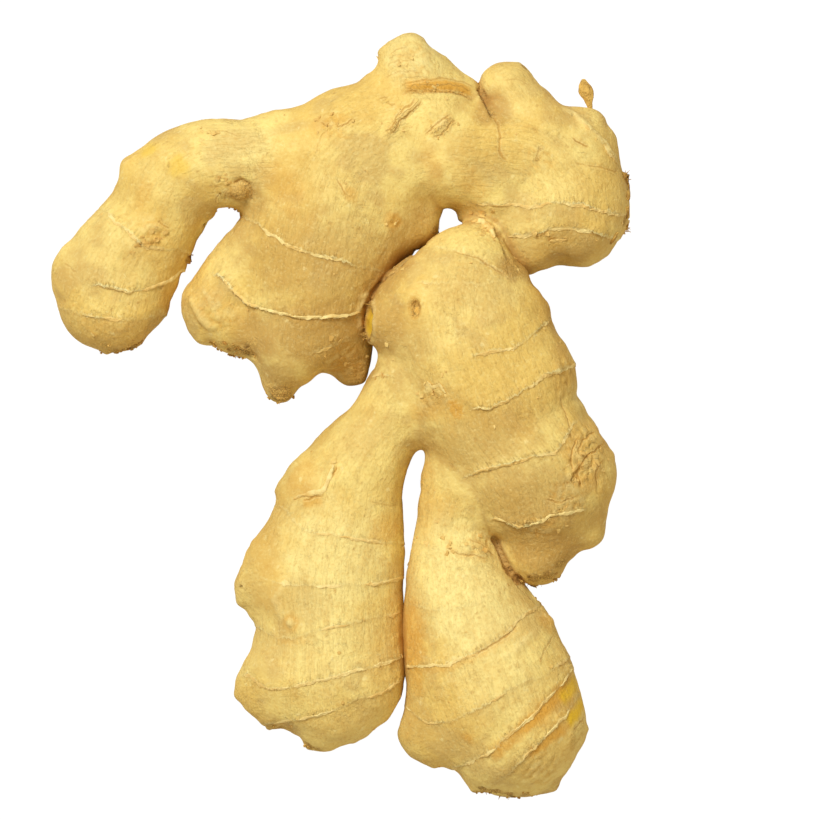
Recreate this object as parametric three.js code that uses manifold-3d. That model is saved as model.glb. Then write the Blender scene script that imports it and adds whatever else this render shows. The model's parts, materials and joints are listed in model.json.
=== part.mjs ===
// A hand of fresh ginger, lying flat: one grown rhizome of eight shoots, each a knobbly finger that
// buds from the one before it. Millimetres, X to the right, Y up the hand, Z up from the surface that
// it lies on. The origin is under the middle of its bounding box.
//
// The whole hand is described as a field: a function that is negative inside the flesh. Every shoot is
// a row of round stations along its growth axis, swollen by buds; neighbouring shoots melt together
// where one grew out of the other and stay creased where they only press on each other. The field is
// turned into triangles, thinned to long edges on the flat flanks, and then scored and lifted along the
// node rings, the raised scars that the scale leaves left round each shoot.
import * as THREE from "three";
import { mergeVertices } from "three/addons/utils/BufferGeometryUtils.js";
import Module from "manifold-3d";

const SKIN = { color: 0xe0bc78, roughness: 0.72, metalness: 0 };
const CELL = 2.4; // grid step of the first mesh
const MARGIN = 4; // empty grid round the hand
const BUD_BLEND = 5; // how far a bud melts into its own shoot
const FAR_OFF = 9; // a row of stations further off than this is passed over
const STEPS = 10; // round sections between two stations
const LUMP = 0.45; // height of the slow unevenness of the skin
const RING_LIFT = 0.65; // a node ring's edge above the skin
const RING_DROP = 0.3; // the groove in front of it, below the skin
const RING_STEP = 1.2; // from the edge to the bottom of the groove
const RING_SPARE = 3; // how far a ring runs past the ends of its chord
const LONG_EDGE = 4.6; // triangle size on the broad flanks
const SHORT_EDGE = 2.5; // triangle size on the smallest buds
const EDGE_PER_WIDTH = 0.28; // triangle size for each millimetre of a shoot's half width
const SLOPE_STEP = 0.05; // half the distance over which the field's slope is measured
const SLIDE_PASSES = 3; // steps of a point that slides onto the skin
const LONGEST_SLIDE = 1.5; // of one such step
const LEAST_STEEP = 0.25; // keeps a step finite where the field is flat
const THIN_ROUNDS = 9; // at most
const TOO_SHORT = 0.8; // an edge under this share of its wanted length is collapsed
const SMALLEST_FACE = 0.05; // twice the area of a triangle that a collapse may leave
const COLLAPSE_TURN = 0.5; // cosines of the largest turn of a triangle: in a collapse
const FLIP_TURN = 0.6; // when an edge is flipped
const FLIP_FLAT = 0.8; // between two triangles whose shared edge may be flipped
const SCORE_TURN = 0.7; // when a point is moved onto a ring
const FLIP_GAIN = 0.02; // radians over a straight angle before an edge is flipped
const RELAX = 0.6; // how far a point moves to the middle of its neighbours
const SNAP_SHARE = 0.3; // a ring takes over a point this near, as a share of the edge
const WELD = 1e-4; // points closer than this are one

// station: [x, y, z, half width, thickness / width]
// bud: a short row of stations that swells out of the axis
// ring: [x, y] of its left end, [x, y] of its right end, and how far its top leans on towards the tip
// joint: where it grew from the shoots before it, how deep the two melt together, and how far from there
const SHOOTS = {
  upper_body: {
    axis: [
      [19, 70, 19, 12, 0.9],
      [9.5, 66.5, 19, 15, 0.86],
      [1, 58, 18, 17.8, 0.82],
      [-3.5, 46, 17.5, 20, 0.78],
      [-6.5, 34, 17, 17, 0.84],
      [-8.5, 23, 16, 13.5, 0.9],
    ],
    buds: [
      [[-2.5, 63.3, 19, 11.9, 0.85], [-12, 62.8, 19.5, 9.9, 0.9]], // shoulder
      [[7, 55.5, 17, 14.5, 0.85], [15.4, 48.4, 16, 9.3, 0.9]], // flank under the neck
      [[8, 61, 18.5, 13.4, 0.88], [22, 63.4, 18, 12.2, 0.95]], // neck to the right body
      [[-17, 40.5, 16, 9.2, 0.95], [-25, 32.7, 14, 9.1, 0.95], [-29, 26.8, 13, 9, 0.95]], // side lobe
      [[-29.5, 24.5, 13, 6, 1], [-31.9, 22, 12.5, 4.2, 1]],
      [[-25, 22, 13, 5.3, 1], [-23.9, 18.2, 12.5, 3.2, 1]],
      [[-12, 18.8, 15, 10, 0.95], [-13.7, 11.5, 13.5, 5.6, 1], [-14.4, 6.7, 13, 3.7, 1]],
      [[-1, 22, 14, 9, 0.95], [2, 15.6, 12.5, 5.9, 1], [2.5, 10.8, 12, 3.8, 1]],
    ],
    rings: [
      [-23, 48.2, 14, 34.5, 3.3],
      [-26, 30.7, 9, 26.4, 4.6],
      [-21, 17, 6.7, 19.4, 1.5],
    ],
  },
  left_finger: {
    joint: { at: [-17, 62, 19], depth: 8, reach: 22 },
    axis: [
      [-9.5, 61, 19.5, 10, 0.92],
      [-23, 60.6, 20, 10.8, 0.93],
      [-32.6, 60, 18.5, 11, 0.94],
      [-40.3, 55.3, 16, 11.6, 0.94],
      [-45.2, 46.5, 13.6, 11.9, 0.93],
      [-51.8, 36.9, 12.2, 13.5, 0.9],
      [-55, 28.3, 12, 13, 0.92],
    ],
    buds: [
      [[-45.5, 55.5, 17, 4.4, 1], [-49.3, 59.8, 17.5, 2.9, 1]],
      [[-56.4, 33.6, 12, 10, 0.95], [-61.9, 34.4, 12, 7.4, 0.95]],
    ],
    rings: [
      [-18.7, 71.5, -24, 51.1, 0.5],
      [-58, 50.6, -36, 40.5, 4],
      [-69, 37, -37, 36, 4.6],
      [-67.2, 26.4, -40.3, 27.8, 3.3],
    ],
  },
  top_knob: {
    joint: { at: [11, 77, 21], depth: 9, reach: 14 },
    axis: [
      [22, 71.5, 20, 11.5, 0.95],
      [18.1, 79.7, 21.5, 9.3, 0.96],
      [16.3, 85, 22, 6.9, 1],
    ],
    buds: [[[26.2, 76.5, 20, 6, 1], [30, 77.6, 20, 3.4, 1]]],
    rings: [[9.5, 84, 27, 82.5, -1]],
  },
  right_body: {
    joint: { at: [28, 63, 23], depth: 8, reach: 17 },
    axis: [
      [30, 63.7, 17.5, 14.3, 0.9],
      [45.2, 62.9, 16, 13.2, 0.95],
      [52.1, 56.6, 14.5, 14.5, 0.93],
      [53.8, 51.3, 14, 15, 0.93],
      [51.1, 46.7, 14, 9.6, 1],
    ],
    buds: [
      [[43.2, 44.6, 15, 8.6, 1], [43.2, 40.9, 14.5, 7.1, 1]],
      [[39, 54.5, 16.5, 9, 1], [34.8, 49.6, 16, 5.5, 1]],
      [[58.6, 48.3, 14, 9, 1], [58.9, 43.7, 13.5, 6.5, 1]],
      [[56.5, 64.3, 16, 8.6, 1], [58.8, 67.8, 16.5, 6.2, 1]],
    ],
    rings: [
      [33, 51, 69, 50.2, 1],
      [34.5, 43.2, 68, 44.2, 0],
      [66.5, 60.2, 48, 79.4, 1],
    ],
  },
  right_finger: {
    joint: { at: [46.5, 71, 22], depth: 9, reach: 13 },
    axis: [
      [47.6, 67.1, 17, 8, 1],
      [42.8, 74, 18, 7.6, 1],
      [40, 78.1, 18.5, 7.2, 1],
    ],
    buds: [],
    rings: [],
  },
  lower_body: {
    joint: { at: [34, 44, 19], depth: 4, reach: 10 },
    axis: [
      [33.4, 40.2, 20.5, 6.8, 1],
      [30, 30.8, 22, 13.8, 0.86],
      [30.7, 19.4, 22, 19.4, 0.8],
      [35.5, 7.8, 21.5, 20.7, 0.78],
      [39.4, -2.2, 21, 19.1, 0.78],
      [46.3, -12.5, 20, 18.3, 0.8],
      [48.8, -22.4, 18, 12.7, 0.86],
      [46.8, -31.4, 17, 8.9, 0.95],
    ],
    buds: [
      [[19, 25.4, 23.5, 11.5, 0.9], [14.4, 22.6, 24.5, 8.6, 0.95]], // cut knob on the left
      [[38.2, 24.8, 22, 9.8, 0.9], [43.5, 26.5, 22, 5, 1]],
      [[54.8, -12, 19, 8.2, 0.95], [60.5, -14.2, 19, 4.9, 1]],
      [[55.6, -20, 17.5, 7.6, 1], [59.2, -26.4, 17, 4.9, 1]],
    ],
    rings: [
      [24.5, 39.8, 40.2, 34.6, 0.5],
      [12.5, 30.4, 48, 29.8, 0.3],
      [12, 11.5, 53, 22.6, 2],
      [16.8, -5.8, 56.2, 12.2, 1],
      [20.2, -15.8, 61.7, -3.8, 1.5],
      [34.6, -26.9, 64.3, -18.2, 2],
    ],
  },
  lower_left: {
    joint: { at: [14, 3, 19], depth: 8, reach: 20 },
    axis: [
      [17.8, 8, 20, 9.6, 1],
      [9.9, -3.6, 18.5, 9.4, 1],
      [3.2, -13.6, 17, 12.2, 0.92],
      [0.4, -23.8, 15.5, 14.6, 0.86],
      [-2.4, -34.6, 14.5, 17.5, 0.8],
      [-2.4, -46.6, 14, 17.8, 0.8],
      [-2.2, -60.2, 14.3, 17.9, 0.8],
    ],
    buds: [
      [[-3.9, -17, 17, 8.3, 0.95], [-11, -16.8, 17, 3.8, 1]],
      [[-14, -33, 15, 6, 1], [-17.5, -33.4, 14.5, 4, 1]],
      [[-12.4, -38.8, 15, 10, 0.95], [-17.9, -40.4, 14.5, 7, 1]],
      [[-12.8, -62.8, 14, 10, 0.95], [-18.1, -65.4, 13.5, 7, 1]],
      [[-12.6, -67.6, 13.5, 5.4, 0.95], [-15.6, -72, 13, 2.8, 1]],
      [[-4.4, -68, 14, 7.6, 0.95], [-4.8, -75.6, 13, 4.8, 1]],
      [[0.4, -65.4, 14, 11.6, 0.9], [3.4, -71.6, 13, 5.6, 1]],
    ],
    rings: [
      [8.4, 9.6, 24, 9.1, 1.5],
      [-15.4, -22.6, 14.9, -30, 3.8],
      [-23.3, -35, 14.9, -37, 4.3],
      [-21.6, -49.4, 14.6, -46, 3.6],
      [-23.8, -60.5, 15.6, -57.4, 4],
      [-18.7, -73, 14.9, -63.4, 4],
    ],
  },
  lower_right: {
    joint: { at: [29, -17, 18], depth: 8, reach: 18 },
    axis: [
      [29.8, -15.8, 19, 9.6, 1],
      [27.2, -27.4, 17.5, 8.7, 1],
      [28.7, -39.4, 16, 12.5, 0.95],
      [31.8, -51.8, 15, 16.8, 0.86],
      [36.3, -63.4, 15, 20, 0.79],
      [39.6, -71.6, 14.8, 17.8, 0.82],
    ],
    buds: [
      [[26.2, -72.6, 14, 9.6, 0.95], [21.2, -76.2, 13, 7.3, 1]],
      [[36, -80, 13, 7.8, 0.95], [35.8, -84.9, 12, 5.2, 1]],
      [[40.8, -77.8, 14, 12, 0.9], [41.6, -83.8, 12, 7.3, 0.9]],
      [[47, -81, 13, 7.8, 0.95], [48.2, -85.4, 12, 5, 1]],
      [[48.4, -74.2, 14, 10, 0.95], [51.6, -76.2, 13.5, 6.9, 1]],
    ],
    rings: [
      [17.5, -31.7, 37.7, -32.6, 1],
      [15.6, -43.7, 43.2, -40.6, 3.6],
      [15.6, -59.5, 49.2, -45.8, 3.6],
      [15.8, -68.9, 54.7, -57.4, 5.5],
      [21.6, -84, 56.4, -62.4, 4],
      [32.4, -89.3, 59, -68.2, 0.5],
    ],
  },
};

// dry stumps of roots and shoots: [base], [tip], radius at the base and at the tip
const STUMPS = [
  [[-38.6, 37.6, 14], [-35.8, 37.9, 14], 1.5, 0.9],
  [[20.5, 44.6, 15], [23.6, 44.9, 15], 1.9, 1.1],
  [[-24.4, 54, 18], [-24.9, 50.6, 17], 2.5, 1.8],
  [[65.8, 57.5, 15], [69.2, 57.2, 15.5], 1.8, 0.9],
  [[64.5, 46.5, 14], [68.6, 45.3, 14], 1.8, 1],
  [[47.5, -37.5, 16], [46.2, -40.8, 16], 2, 1.1],
];

// the one dry scale that still stands: its outline from root to tip, and where it grows
const SCALE = {
  at: [60.4, 71.5, 17],
  lean: 0.18, // radians
  thickness: 0.8,
  length: 9.4,
  stalk: 1.1,
  blade: 2.1,
  sunk: 2,
};

const FLOOR_SIZE = 400;

// ---------------------------------------------------------------- the field

// Catmull-Rom through the stations, every component alike.
function roundSections(stations) {
  const first = stations[0].map((v, i) => 2 * v - stations[1][i]);
  const last = stations.at(-1).map((v, i) => 2 * v - stations.at(-2)[i]);
  const row = [first, ...stations, last];
  const out = [];
  for (let i = 1; i < row.length - 2; i++) {
    for (let step = 0; step < STEPS; step++) {
      const t = step / STEPS;
      out.push(row[i].map((p1, c) => {
        const [p0, p2, p3] = [row[i - 1][c], row[i + 1][c], row[i + 2][c]];
        const bend = (2 * p0 - 5 * p1 + 4 * p2 - p3) * t * t + (3 * p1 - p0 - 3 * p2 + p3) * t ** 3;
        return 0.5 * (2 * p1 + (p2 - p0) * t + bend);
      }));
    }
  }
  return [...out, stations.at(-1)];
}

// A row of sections, with the box that it fills.
function solidRow(stations) {
  const sections = roundSections(stations);
  const box = [0, 1].map((c) => [
    Math.min(...sections.map((s) => s[c] - s[3])),
    Math.max(...sections.map((s) => s[c] + s[3])),
  ]);
  return { numbers: Float64Array.from(sections.flat()), box };
}

const shoots = Object.values(SHOOTS).map((shoot) => ({
  rows: [shoot.axis, ...shoot.buds].map(solidRow),
  sections: roundSections(shoot.axis),
  joint: shoot.joint,
  rings: shoot.rings,
}));

function rowDistance({ numbers: n, box }, x, y, z) {
  const beside = Math.max(box[0][0] - x, x - box[0][1], box[1][0] - y, y - box[1][1]);
  if (beside > FAR_OFF) return beside;
  let nearest = Infinity;
  for (let i = 0; i < n.length; i += 5) {
    const [dx, dy, dz] = [x - n[i], y - n[i + 1], (z - n[i + 2]) / n[i + 4]];
    nearest = Math.min(nearest, Math.sqrt(dx * dx + dy * dy + dz * dz) - n[i + 3]);
  }
  return nearest;
}

function melt(a, b, depth) {
  if (depth < 1e-6) return Math.min(a, b);
  const share = Math.max(depth - Math.abs(a - b), 0) / depth;
  return Math.min(a, b) - (share * share * depth) / 4;
}

function shootDistance(shoot, x, y, z) {
  return shoot.rows.reduce((sum, row) => melt(sum, rowDistance(row, x, y, z), BUD_BLEND), Infinity);
}

function unevenness(x, y, z) {
  const a = Math.sin(x / 4.1 + 1.7 * Math.sin(y / 9.3));
  const b = Math.sin(y / 4.7 + 1.3 * Math.sin(z / 6.1));
  return a * b * Math.cos(z / 5.3 + 1.1 * Math.sin(x / 7.9));
}

// The signed distance to the skin, about, and the shoot that the point is nearest to.
function field(x, y, z) {
  let total = Infinity;
  let nearest = Infinity;
  let owner = null;
  for (const shoot of shoots) {
    const own = shootDistance(shoot, x, y, z);
    if (own < nearest) [nearest, owner] = [own, shoot];
    if (!shoot.joint) {
      total = own;
      continue;
    }
    const [jx, jy, jz] = shoot.joint.at;
    const away = Math.hypot(x - jx, y - jy, z - jz) / shoot.joint.reach;
    const fade = Math.max(0, 1 - away * away);
    total = melt(total, own, shoot.joint.depth * fade);
  }
  return { value: total - LUMP * unevenness(x, y, z), owner };
}

const depthAt = (p) => field(p.x, p.y, p.z).value;

function slope(p) {
  const h = SLOPE_STEP;
  const along = (dx, dy, dz) =>
    field(p.x + dx, p.y + dy, p.z + dz).value - field(p.x - dx, p.y - dy, p.z - dz).value;
  return new THREE.Vector3(along(h, 0, 0), along(0, h, 0), along(0, 0, h)).divideScalar(2 * h);
}

function ontoSkin(p) {
  for (let pass = 0; pass < SLIDE_PASSES; pass++) {
    const g = slope(p);
    const steep = Math.max(g.lengthSq(), LEAST_STEEP);
    p.addScaledVector(g, THREE.MathUtils.clamp(-depthAt(p) / steep, -LONGEST_SLIDE, LONGEST_SLIDE));
  }
  return p;
}

// ---------------------------------------------------------------- the first mesh

// The six tetrahedra of a cube, as corner numbers whose bits are its x, y and z.
const TETRAHEDRA = [[1, 3], [3, 2], [2, 6], [6, 4], [4, 5], [5, 1]].map(([a, b]) => [0, a, b, 7]);

function firstMesh() {
  const rows = shoots.flatMap((s) => s.rows.map((row) => row.numbers));
  const low = [0, 1, 2].map((c) => Math.min(...rows.map((row) => {
    let edge = Infinity;
    for (let i = 0; i < row.length; i += 5) edge = Math.min(edge, row[i + c] - row[i + 3]);
    return edge;
  })) - MARGIN);
  const high = [0, 1, 2].map((c) => Math.max(...rows.map((row) => {
    let edge = -Infinity;
    for (let i = 0; i < row.length; i += 5) edge = Math.max(edge, row[i + c] + row[i + 3]);
    return edge;
  })) + MARGIN);
  const count = low.map((v, c) => Math.ceil((high[c] - v) / CELL) + 1);
  const at = (i, j, k) => new THREE.Vector3(low[0] + i * CELL, low[1] + j * CELL, low[2] + k * CELL);
  const number = (i, j, k) => (k * count[1] + j) * count[0] + i;
  const values = new Float64Array(count[0] * count[1] * count[2]);
  for (let k = 0; k < count[2]; k++)
    for (let j = 0; j < count[1]; j++)
      for (let i = 0; i < count[0]; i++) values[number(i, j, k)] = depthAt(at(i, j, k)) || 1e-9;

  const points = [];
  const faces = [];
  const made = new Map();
  const crossing = (a, b) => {
    const key = a.id < b.id ? `${a.id}:${b.id}` : `${b.id}:${a.id}`;
    if (!made.has(key)) {
      made.set(key, points.length);
      points.push(a.p.clone().lerp(b.p, a.v / (a.v - b.v)));
    }
    return made.get(key);
  };
  const addFace = (a, b, c, outside) => {
    const normal = new THREE.Vector3().crossVectors(
      points[b].clone().sub(points[a]), points[c].clone().sub(points[a]));
    faces.push(normal.dot(outside.clone().sub(points[a])) >= 0 ? [a, b, c] : [a, c, b]);
  };
  for (let k = 0; k < count[2] - 1; k++)
    for (let j = 0; j < count[1] - 1; j++)
      for (let i = 0; i < count[0] - 1; i++) {
        const corners = [0, 1, 2, 3, 4, 5, 6, 7].map((bits) => {
          const [ci, cj, ck] = [i + (bits & 1), j + ((bits >> 1) & 1), k + (bits >> 2)];
          return { id: number(ci, cj, ck), v: values[number(ci, cj, ck)], ijk: [ci, cj, ck] };
        });
        if (corners.every((c) => c.v > 0) || corners.every((c) => c.v < 0)) continue;
        for (const c of corners) c.p = at(...c.ijk);
        for (const four of TETRAHEDRA) {
          const inside = four.filter((c) => corners[c].v < 0).map((c) => corners[c]);
          const outside = four.filter((c) => corners[c].v > 0).map((c) => corners[c]);
          if (!inside.length || !outside.length) continue;
          const away = outside.reduce((sum, c) => sum.add(c.p), new THREE.Vector3())
            .divideScalar(outside.length);
          if (inside.length === 1) addFace(...outside.map((o) => crossing(inside[0], o)), away);
          else if (outside.length === 1) addFace(...inside.map((n) => crossing(n, outside[0])), away);
          else {
            const [a, b] = inside;
            const [c, d] = outside;
            const quad = [crossing(a, c), crossing(a, d), crossing(b, d), crossing(b, c)];
            addFace(quad[0], quad[1], quad[2], away);
            addFace(quad[0], quad[2], quad[3], away);
          }
        }
      }
  return { points, faces };
}

// ---------------------------------------------------------------- thinning it

// Points and triangles, with the triangles that meet at each point.
class Net {
  constructor({ points, faces }) {
    this.points = points;
    this.faces = faces;
    this.around = points.map(() => new Set());
    faces.forEach((face, f) => face.forEach((v) => this.around[v].add(f)));
  }

  neighbours(v) {
    return new Set([...this.around[v]].flatMap((f) => this.faces[f]).filter((w) => w !== v));
  }

  sharedFaces(a, b) {
    return [...this.around[a]].filter((f) => this.around[b].has(f));
  }

  normal([a, b, c]) {
    const [p, q, r] = [this.points[a], this.points[b], this.points[c]];
    return new THREE.Vector3().crossVectors(q.clone().sub(p), r.clone().sub(p));
  }

  edges() {
    const found = new Set();
    for (const face of this.faces) {
      if (!face) continue;
      face.forEach((a, i) => {
        const b = face[(i + 1) % 3];
        if (a < b) found.add(a * 1e6 + b);
      });
    }
    return [...found].map((key) => [Math.floor(key / 1e6), key % 1e6]);
  }

  replace(f, face) {
    this.faces[f]?.forEach((v) => this.around[v].delete(f));
    this.faces[f] = face;
    face?.forEach((v) => this.around[v].add(f));
  }

  add(face) {
    this.faces.push(null);
    this.replace(this.faces.length - 1, face);
  }

  addPoint(p) {
    this.points.push(p);
    this.around.push(new Set());
    return this.points.length - 1;
  }

  // Moves b into a, at the place given, if the skin stays one closed sheet and no triangle turns over.
  collapse(a, b, place) {
    const common = [...this.neighbours(a)].filter((v) => this.neighbours(b).has(v));
    if (common.length !== 2 || this.sharedFaces(a, b).length !== 2) return false;
    if (common.some((v) => this.around[v].size < 4)) return false;
    const kept = [...this.around[a], ...this.around[b]].filter(
      (f) => !(this.around[a].has(f) && this.around[b].has(f)));
    const before = kept.map((f) => this.normal(this.faces[f]).normalize());
    const [oldA, oldB] = [this.points[a], this.points[b]];
    this.points[a] = this.points[b] = place;
    const fine = kept.every((f, i) => {
      const n = this.normal(this.faces[f]);
      return n.length() > SMALLEST_FACE && n.normalize().dot(before[i]) > COLLAPSE_TURN;
    });
    if (!fine) {
      this.points[a] = oldA;
      this.points[b] = oldB;
      return false;
    }
    for (const f of this.sharedFaces(a, b)) this.replace(f, null);
    for (const f of [...this.around[b]]) this.replace(f, this.faces[f].map((v) => (v === b ? a : v)));
    return true;
  }

  // Turns the edge between two triangles where that makes them rounder.
  flip(a, b) {
    const both = this.sharedFaces(a, b);
    if (both.length !== 2) return;
    const [c, d] = both.map((f) => this.faces[f].find((v) => v !== a && v !== b));
    if (c === d || this.neighbours(c).has(d) || this.around[a].size < 4 || this.around[b].size < 4) return;
    const angle = (v) => {
      const [p, q] = [this.points[a].clone().sub(this.points[v]), this.points[b].clone().sub(this.points[v])];
      return p.angleTo(q);
    };
    if (angle(c) + angle(d) <= Math.PI + FLIP_GAIN) return;
    const old = both.map((f) => this.normal(this.faces[f]).normalize());
    if (old[0].dot(old[1]) < FLIP_FLAT) return;
    const first = this.faces[both[0]];
    const forward = first[(first.indexOf(a) + 1) % 3] === b;
    const made = forward ? [[c, a, d], [d, b, c]] : [[c, d, a], [d, c, b]];
    if (made.some((face) => this.normal(face).normalize().dot(old[0]) < FLIP_TURN)) return;
    both.forEach((f, i) => this.replace(f, made[i]));
  }

  // Moves each point to the middle of its neighbours, then back onto the skin.
  relax() {
    this.points = this.points.map((p, v) => {
      if (!this.around[v].size) return p;
      const near = [...this.neighbours(v)];
      const middle = near.reduce((sum, w) => sum.add(this.points[w]), new THREE.Vector3());
      return ontoSkin(p.clone().lerp(middle.divideScalar(near.length), RELAX));
    });
  }
}

function wantedEdge(p) {
  const { owner } = field(p.x, p.y, p.z);
  let [near, width] = [Infinity, 0];
  for (const { numbers: n } of owner.rows)
    for (let i = 0; i < n.length; i += 5) {
      const away = Math.sqrt((p.x - n[i]) ** 2 + (p.y - n[i + 1]) ** 2 + (p.z - n[i + 2]) ** 2) - n[i + 3];
      if (away < near) [near, width] = [away, n[i + 3]];
    }
  return THREE.MathUtils.clamp(EDGE_PER_WIDTH * width, SHORT_EDGE, LONG_EDGE);
}

function thin(net) {
  for (let round = 0; round < THIN_ROUNDS; round++) {
    const wanted = net.points.map((p, v) => (net.around[v].size ? wantedEdge(p) : 0));
    const share = (a, b) => net.points[a].distanceTo(net.points[b]) / Math.min(wanted[a], wanted[b]);
    const short = net.edges()
      .map(([a, b]) => ({ a, b, size: share(a, b) }))
      .filter((edge) => edge.size < TOO_SHORT)
      .sort((e, f) => e.size - f.size);
    const moved = new Set();
    for (const { a, b } of short) {
      if (moved.has(a) || moved.has(b) || !net.around[a].size || !net.around[b].size) continue;
      const middle = ontoSkin(net.points[a].clone().lerp(net.points[b], 0.5));
      if (net.collapse(a, b, middle)) moved.add(a);
    }
    for (const [a, b] of net.edges()) net.flip(a, b);
    net.relax();
    if (!moved.size) break;
  }
}

// ---------------------------------------------------------------- node rings

// How far a point lies in front of a ring's slanted plane, or null away from the ring.
function ringReach(shoot, [x0, y0, x1, y1, bow]) {
  const chord = new THREE.Vector2(x1 - x0, y1 - y0);
  const half = chord.length() / 2;
  const middle = new THREE.Vector2((x0 + x1) / 2, (y0 + y1) / 2);
  const along = chord.clone().normalize();
  let nearest = null;
  let best = Infinity;
  shoot.sections.forEach((section, i) => {
    const away = Math.hypot(section[0] - middle.x, section[1] - middle.y);
    if (away < best) [best, nearest] = [away, i];
  });
  const section = shoot.sections[nearest];
  const [back, ahead] = [Math.max(nearest - 1, 0), Math.min(nearest + 1, shoot.sections.length - 1)];
  const growth = new THREE.Vector2(
    shoot.sections[ahead][0] - shoot.sections[back][0],
    shoot.sections[ahead][1] - shoot.sections[back][1],
  );
  const front = new THREE.Vector2(-along.y, along.x);
  if (front.dot(growth) < 0) front.negate();
  const height = section[3] * section[4];
  return (p) => {
    const [dx, dy] = [p.x - middle.x, p.y - middle.y];
    if (Math.abs(dx * along.x + dy * along.y) > half + RING_SPARE) return null;
    const rise = THREE.MathUtils.clamp((p.z - section[2]) / height, -1, 1);
    return dx * front.x + dy * front.y - bow * rise;
  };
}

// Runs a line of edges through the net where reach is `ahead`, and returns the points on it.
function score(net, shoot, reach, ahead, fixed) {
  const line = new Set();
  const values = new Map();
  net.points.forEach((p, v) => {
    if (!net.around[v].size) return;
    const value = reach(p);
    if (value === null || Math.abs(value) > 3 * LONG_EDGE) return;
    if (field(p.x, p.y, p.z).owner === shoot) values.set(v, value - ahead);
  });
  // a point that already lies near the line is moved onto it
  for (const [a, b] of net.edges()) {
    if (!values.has(a) || !values.has(b) || values.get(a) * values.get(b) >= 0) continue;
    const share = values.get(a) / (values.get(a) - values.get(b));
    const mover = share < SNAP_SHARE ? a : share > 1 - SNAP_SHARE ? b : null;
    if (mover === null || fixed.has(mover) || line.has(mover)) continue;
    const old = net.points[mover];
    const faces = [...net.around[mover]];
    const before = faces.map((f) => net.normal(net.faces[f]).normalize());
    net.points[mover] = ontoSkin(net.points[a].clone().lerp(net.points[b], share));
    if (faces.some((f, i) => net.normal(net.faces[f]).normalize().dot(before[i]) < SCORE_TURN)) {
      net.points[mover] = old;
      continue;
    }
    values.set(mover, 0);
    line.add(mover);
  }
  for (const [a, b] of net.edges()) {
    if (!values.has(a) || !values.has(b) || values.get(a) * values.get(b) >= 0) continue;
    const share = values.get(a) / (values.get(a) - values.get(b));
    const made = net.addPoint(ontoSkin(net.points[a].clone().lerp(net.points[b], share)));
    values.set(made, 0);
    line.add(made);
    for (const f of net.sharedFaces(a, b)) {
      const face = net.faces[f];
      net.replace(f, face.map((v) => (v === b ? made : v)));
      net.add(face.map((v) => (v === a ? made : v)));
    }
  }
  return line;
}

function raiseRings(net) {
  const lift = new Map();
  const fixed = new Set();
  for (const shoot of shoots)
    for (const ring of shoot.rings) {
      const reach = ringReach(shoot, ring);
      for (const [ahead, height] of [[0, RING_LIFT], [RING_STEP, -RING_DROP]])
        for (const v of score(net, shoot, reach, ahead, fixed)) {
          lift.set(v, height);
          fixed.add(v);
        }
    }
  for (const [v, height] of lift)
    net.points[v].addScaledVector(slope(net.points[v]).normalize(), height);
}

// ---------------------------------------------------------------- solids

const { Manifold, Mesh } = await (async () => {
  const wasm = await Module();
  wasm.setup();
  return wasm;
})();

function solidOf(geometry) {
  const bare = geometry.clone();
  bare.deleteAttribute("normal");
  bare.deleteAttribute("uv");
  const merged = mergeVertices(bare, WELD);
  return new Manifold(new Mesh({
    numProp: 3,
    vertProperties: merged.attributes.position.array,
    triVerts: Uint32Array.from(merged.index.array),
  }));
}

function geometryOf(solid) {
  const mesh = solid.getMesh();
  const positions = new Float32Array(mesh.numVert * 3);
  for (let i = 0; i < mesh.numVert; i++)
    positions.set(mesh.vertProperties.subarray(i * mesh.numProp, i * mesh.numProp + 3), i * 3);
  const geometry = new THREE.BufferGeometry();
  geometry.setAttribute("position", new THREE.BufferAttribute(positions, 3));
  geometry.setIndex(new THREE.BufferAttribute(mesh.triVerts, 1));
  geometry.computeVertexNormals();
  return geometry;
}

function rhizome() {
  const net = new Net(firstMesh());
  thin(net);
  raiseRings(net);
  const geometry = new THREE.BufferGeometry();
  const positions = net.points.flatMap((p) => p.toArray());
  geometry.setAttribute("position", new THREE.Float32BufferAttribute(positions, 3));
  geometry.setIndex(net.faces.filter(Boolean).flat());
  return solidOf(geometry);
}

// A dry root: a short stump, sunk well into the flesh at its base.
const STUMP_SIDES = 6;

function stump([base, tip, wide, narrow]) {
  const [from, to] = [new THREE.Vector3(...base), new THREE.Vector3(...tip)];
  const axis = to.clone().sub(from);
  const sunk = wide;
  const geometry = new THREE.CylinderGeometry(narrow, wide, axis.length() + sunk, STUMP_SIDES);
  geometry.translate(0, (axis.length() - sunk) / 2, 0);
  geometry.applyQuaternion(new THREE.Quaternion().setFromUnitVectors(
    new THREE.Vector3(0, 1, 0), axis.clone().normalize()));
  geometry.translate(...base);
  return solidOf(geometry);
}

// The dry scale leaf: a thin blade on a narrow stalk.
function dryScale({ at, lean, thickness, length, stalk, blade, sunk }) {
  const outline = new THREE.Shape();
  const [waist, neck] = [0.45 * stalk, 0.45 * length]; // where the stalk widens into the blade
  outline.moveTo(-stalk, -sunk);
  outline.lineTo(stalk, -sunk);
  outline.lineTo(waist, neck);
  outline.quadraticCurveTo(blade, 0.62 * length, 0.6 * blade, 0.85 * length);
  outline.lineTo(0, length);
  outline.quadraticCurveTo(-blade, 0.75 * length, -waist, neck);
  outline.closePath();
  const geometry = new THREE.ExtrudeGeometry(outline, {
    depth: thickness, bevelEnabled: false, curveSegments: 4 });
  geometry.rotateZ(lean);
  geometry.translate(...at);
  return solidOf(geometry);
}

function floorBlock() {
  const geometry = new THREE.BoxGeometry(FLOOR_SIZE, FLOOR_SIZE, FLOOR_SIZE);
  geometry.translate(0, 0, -FLOOR_SIZE / 2);
  return solidOf(geometry);
}

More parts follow.
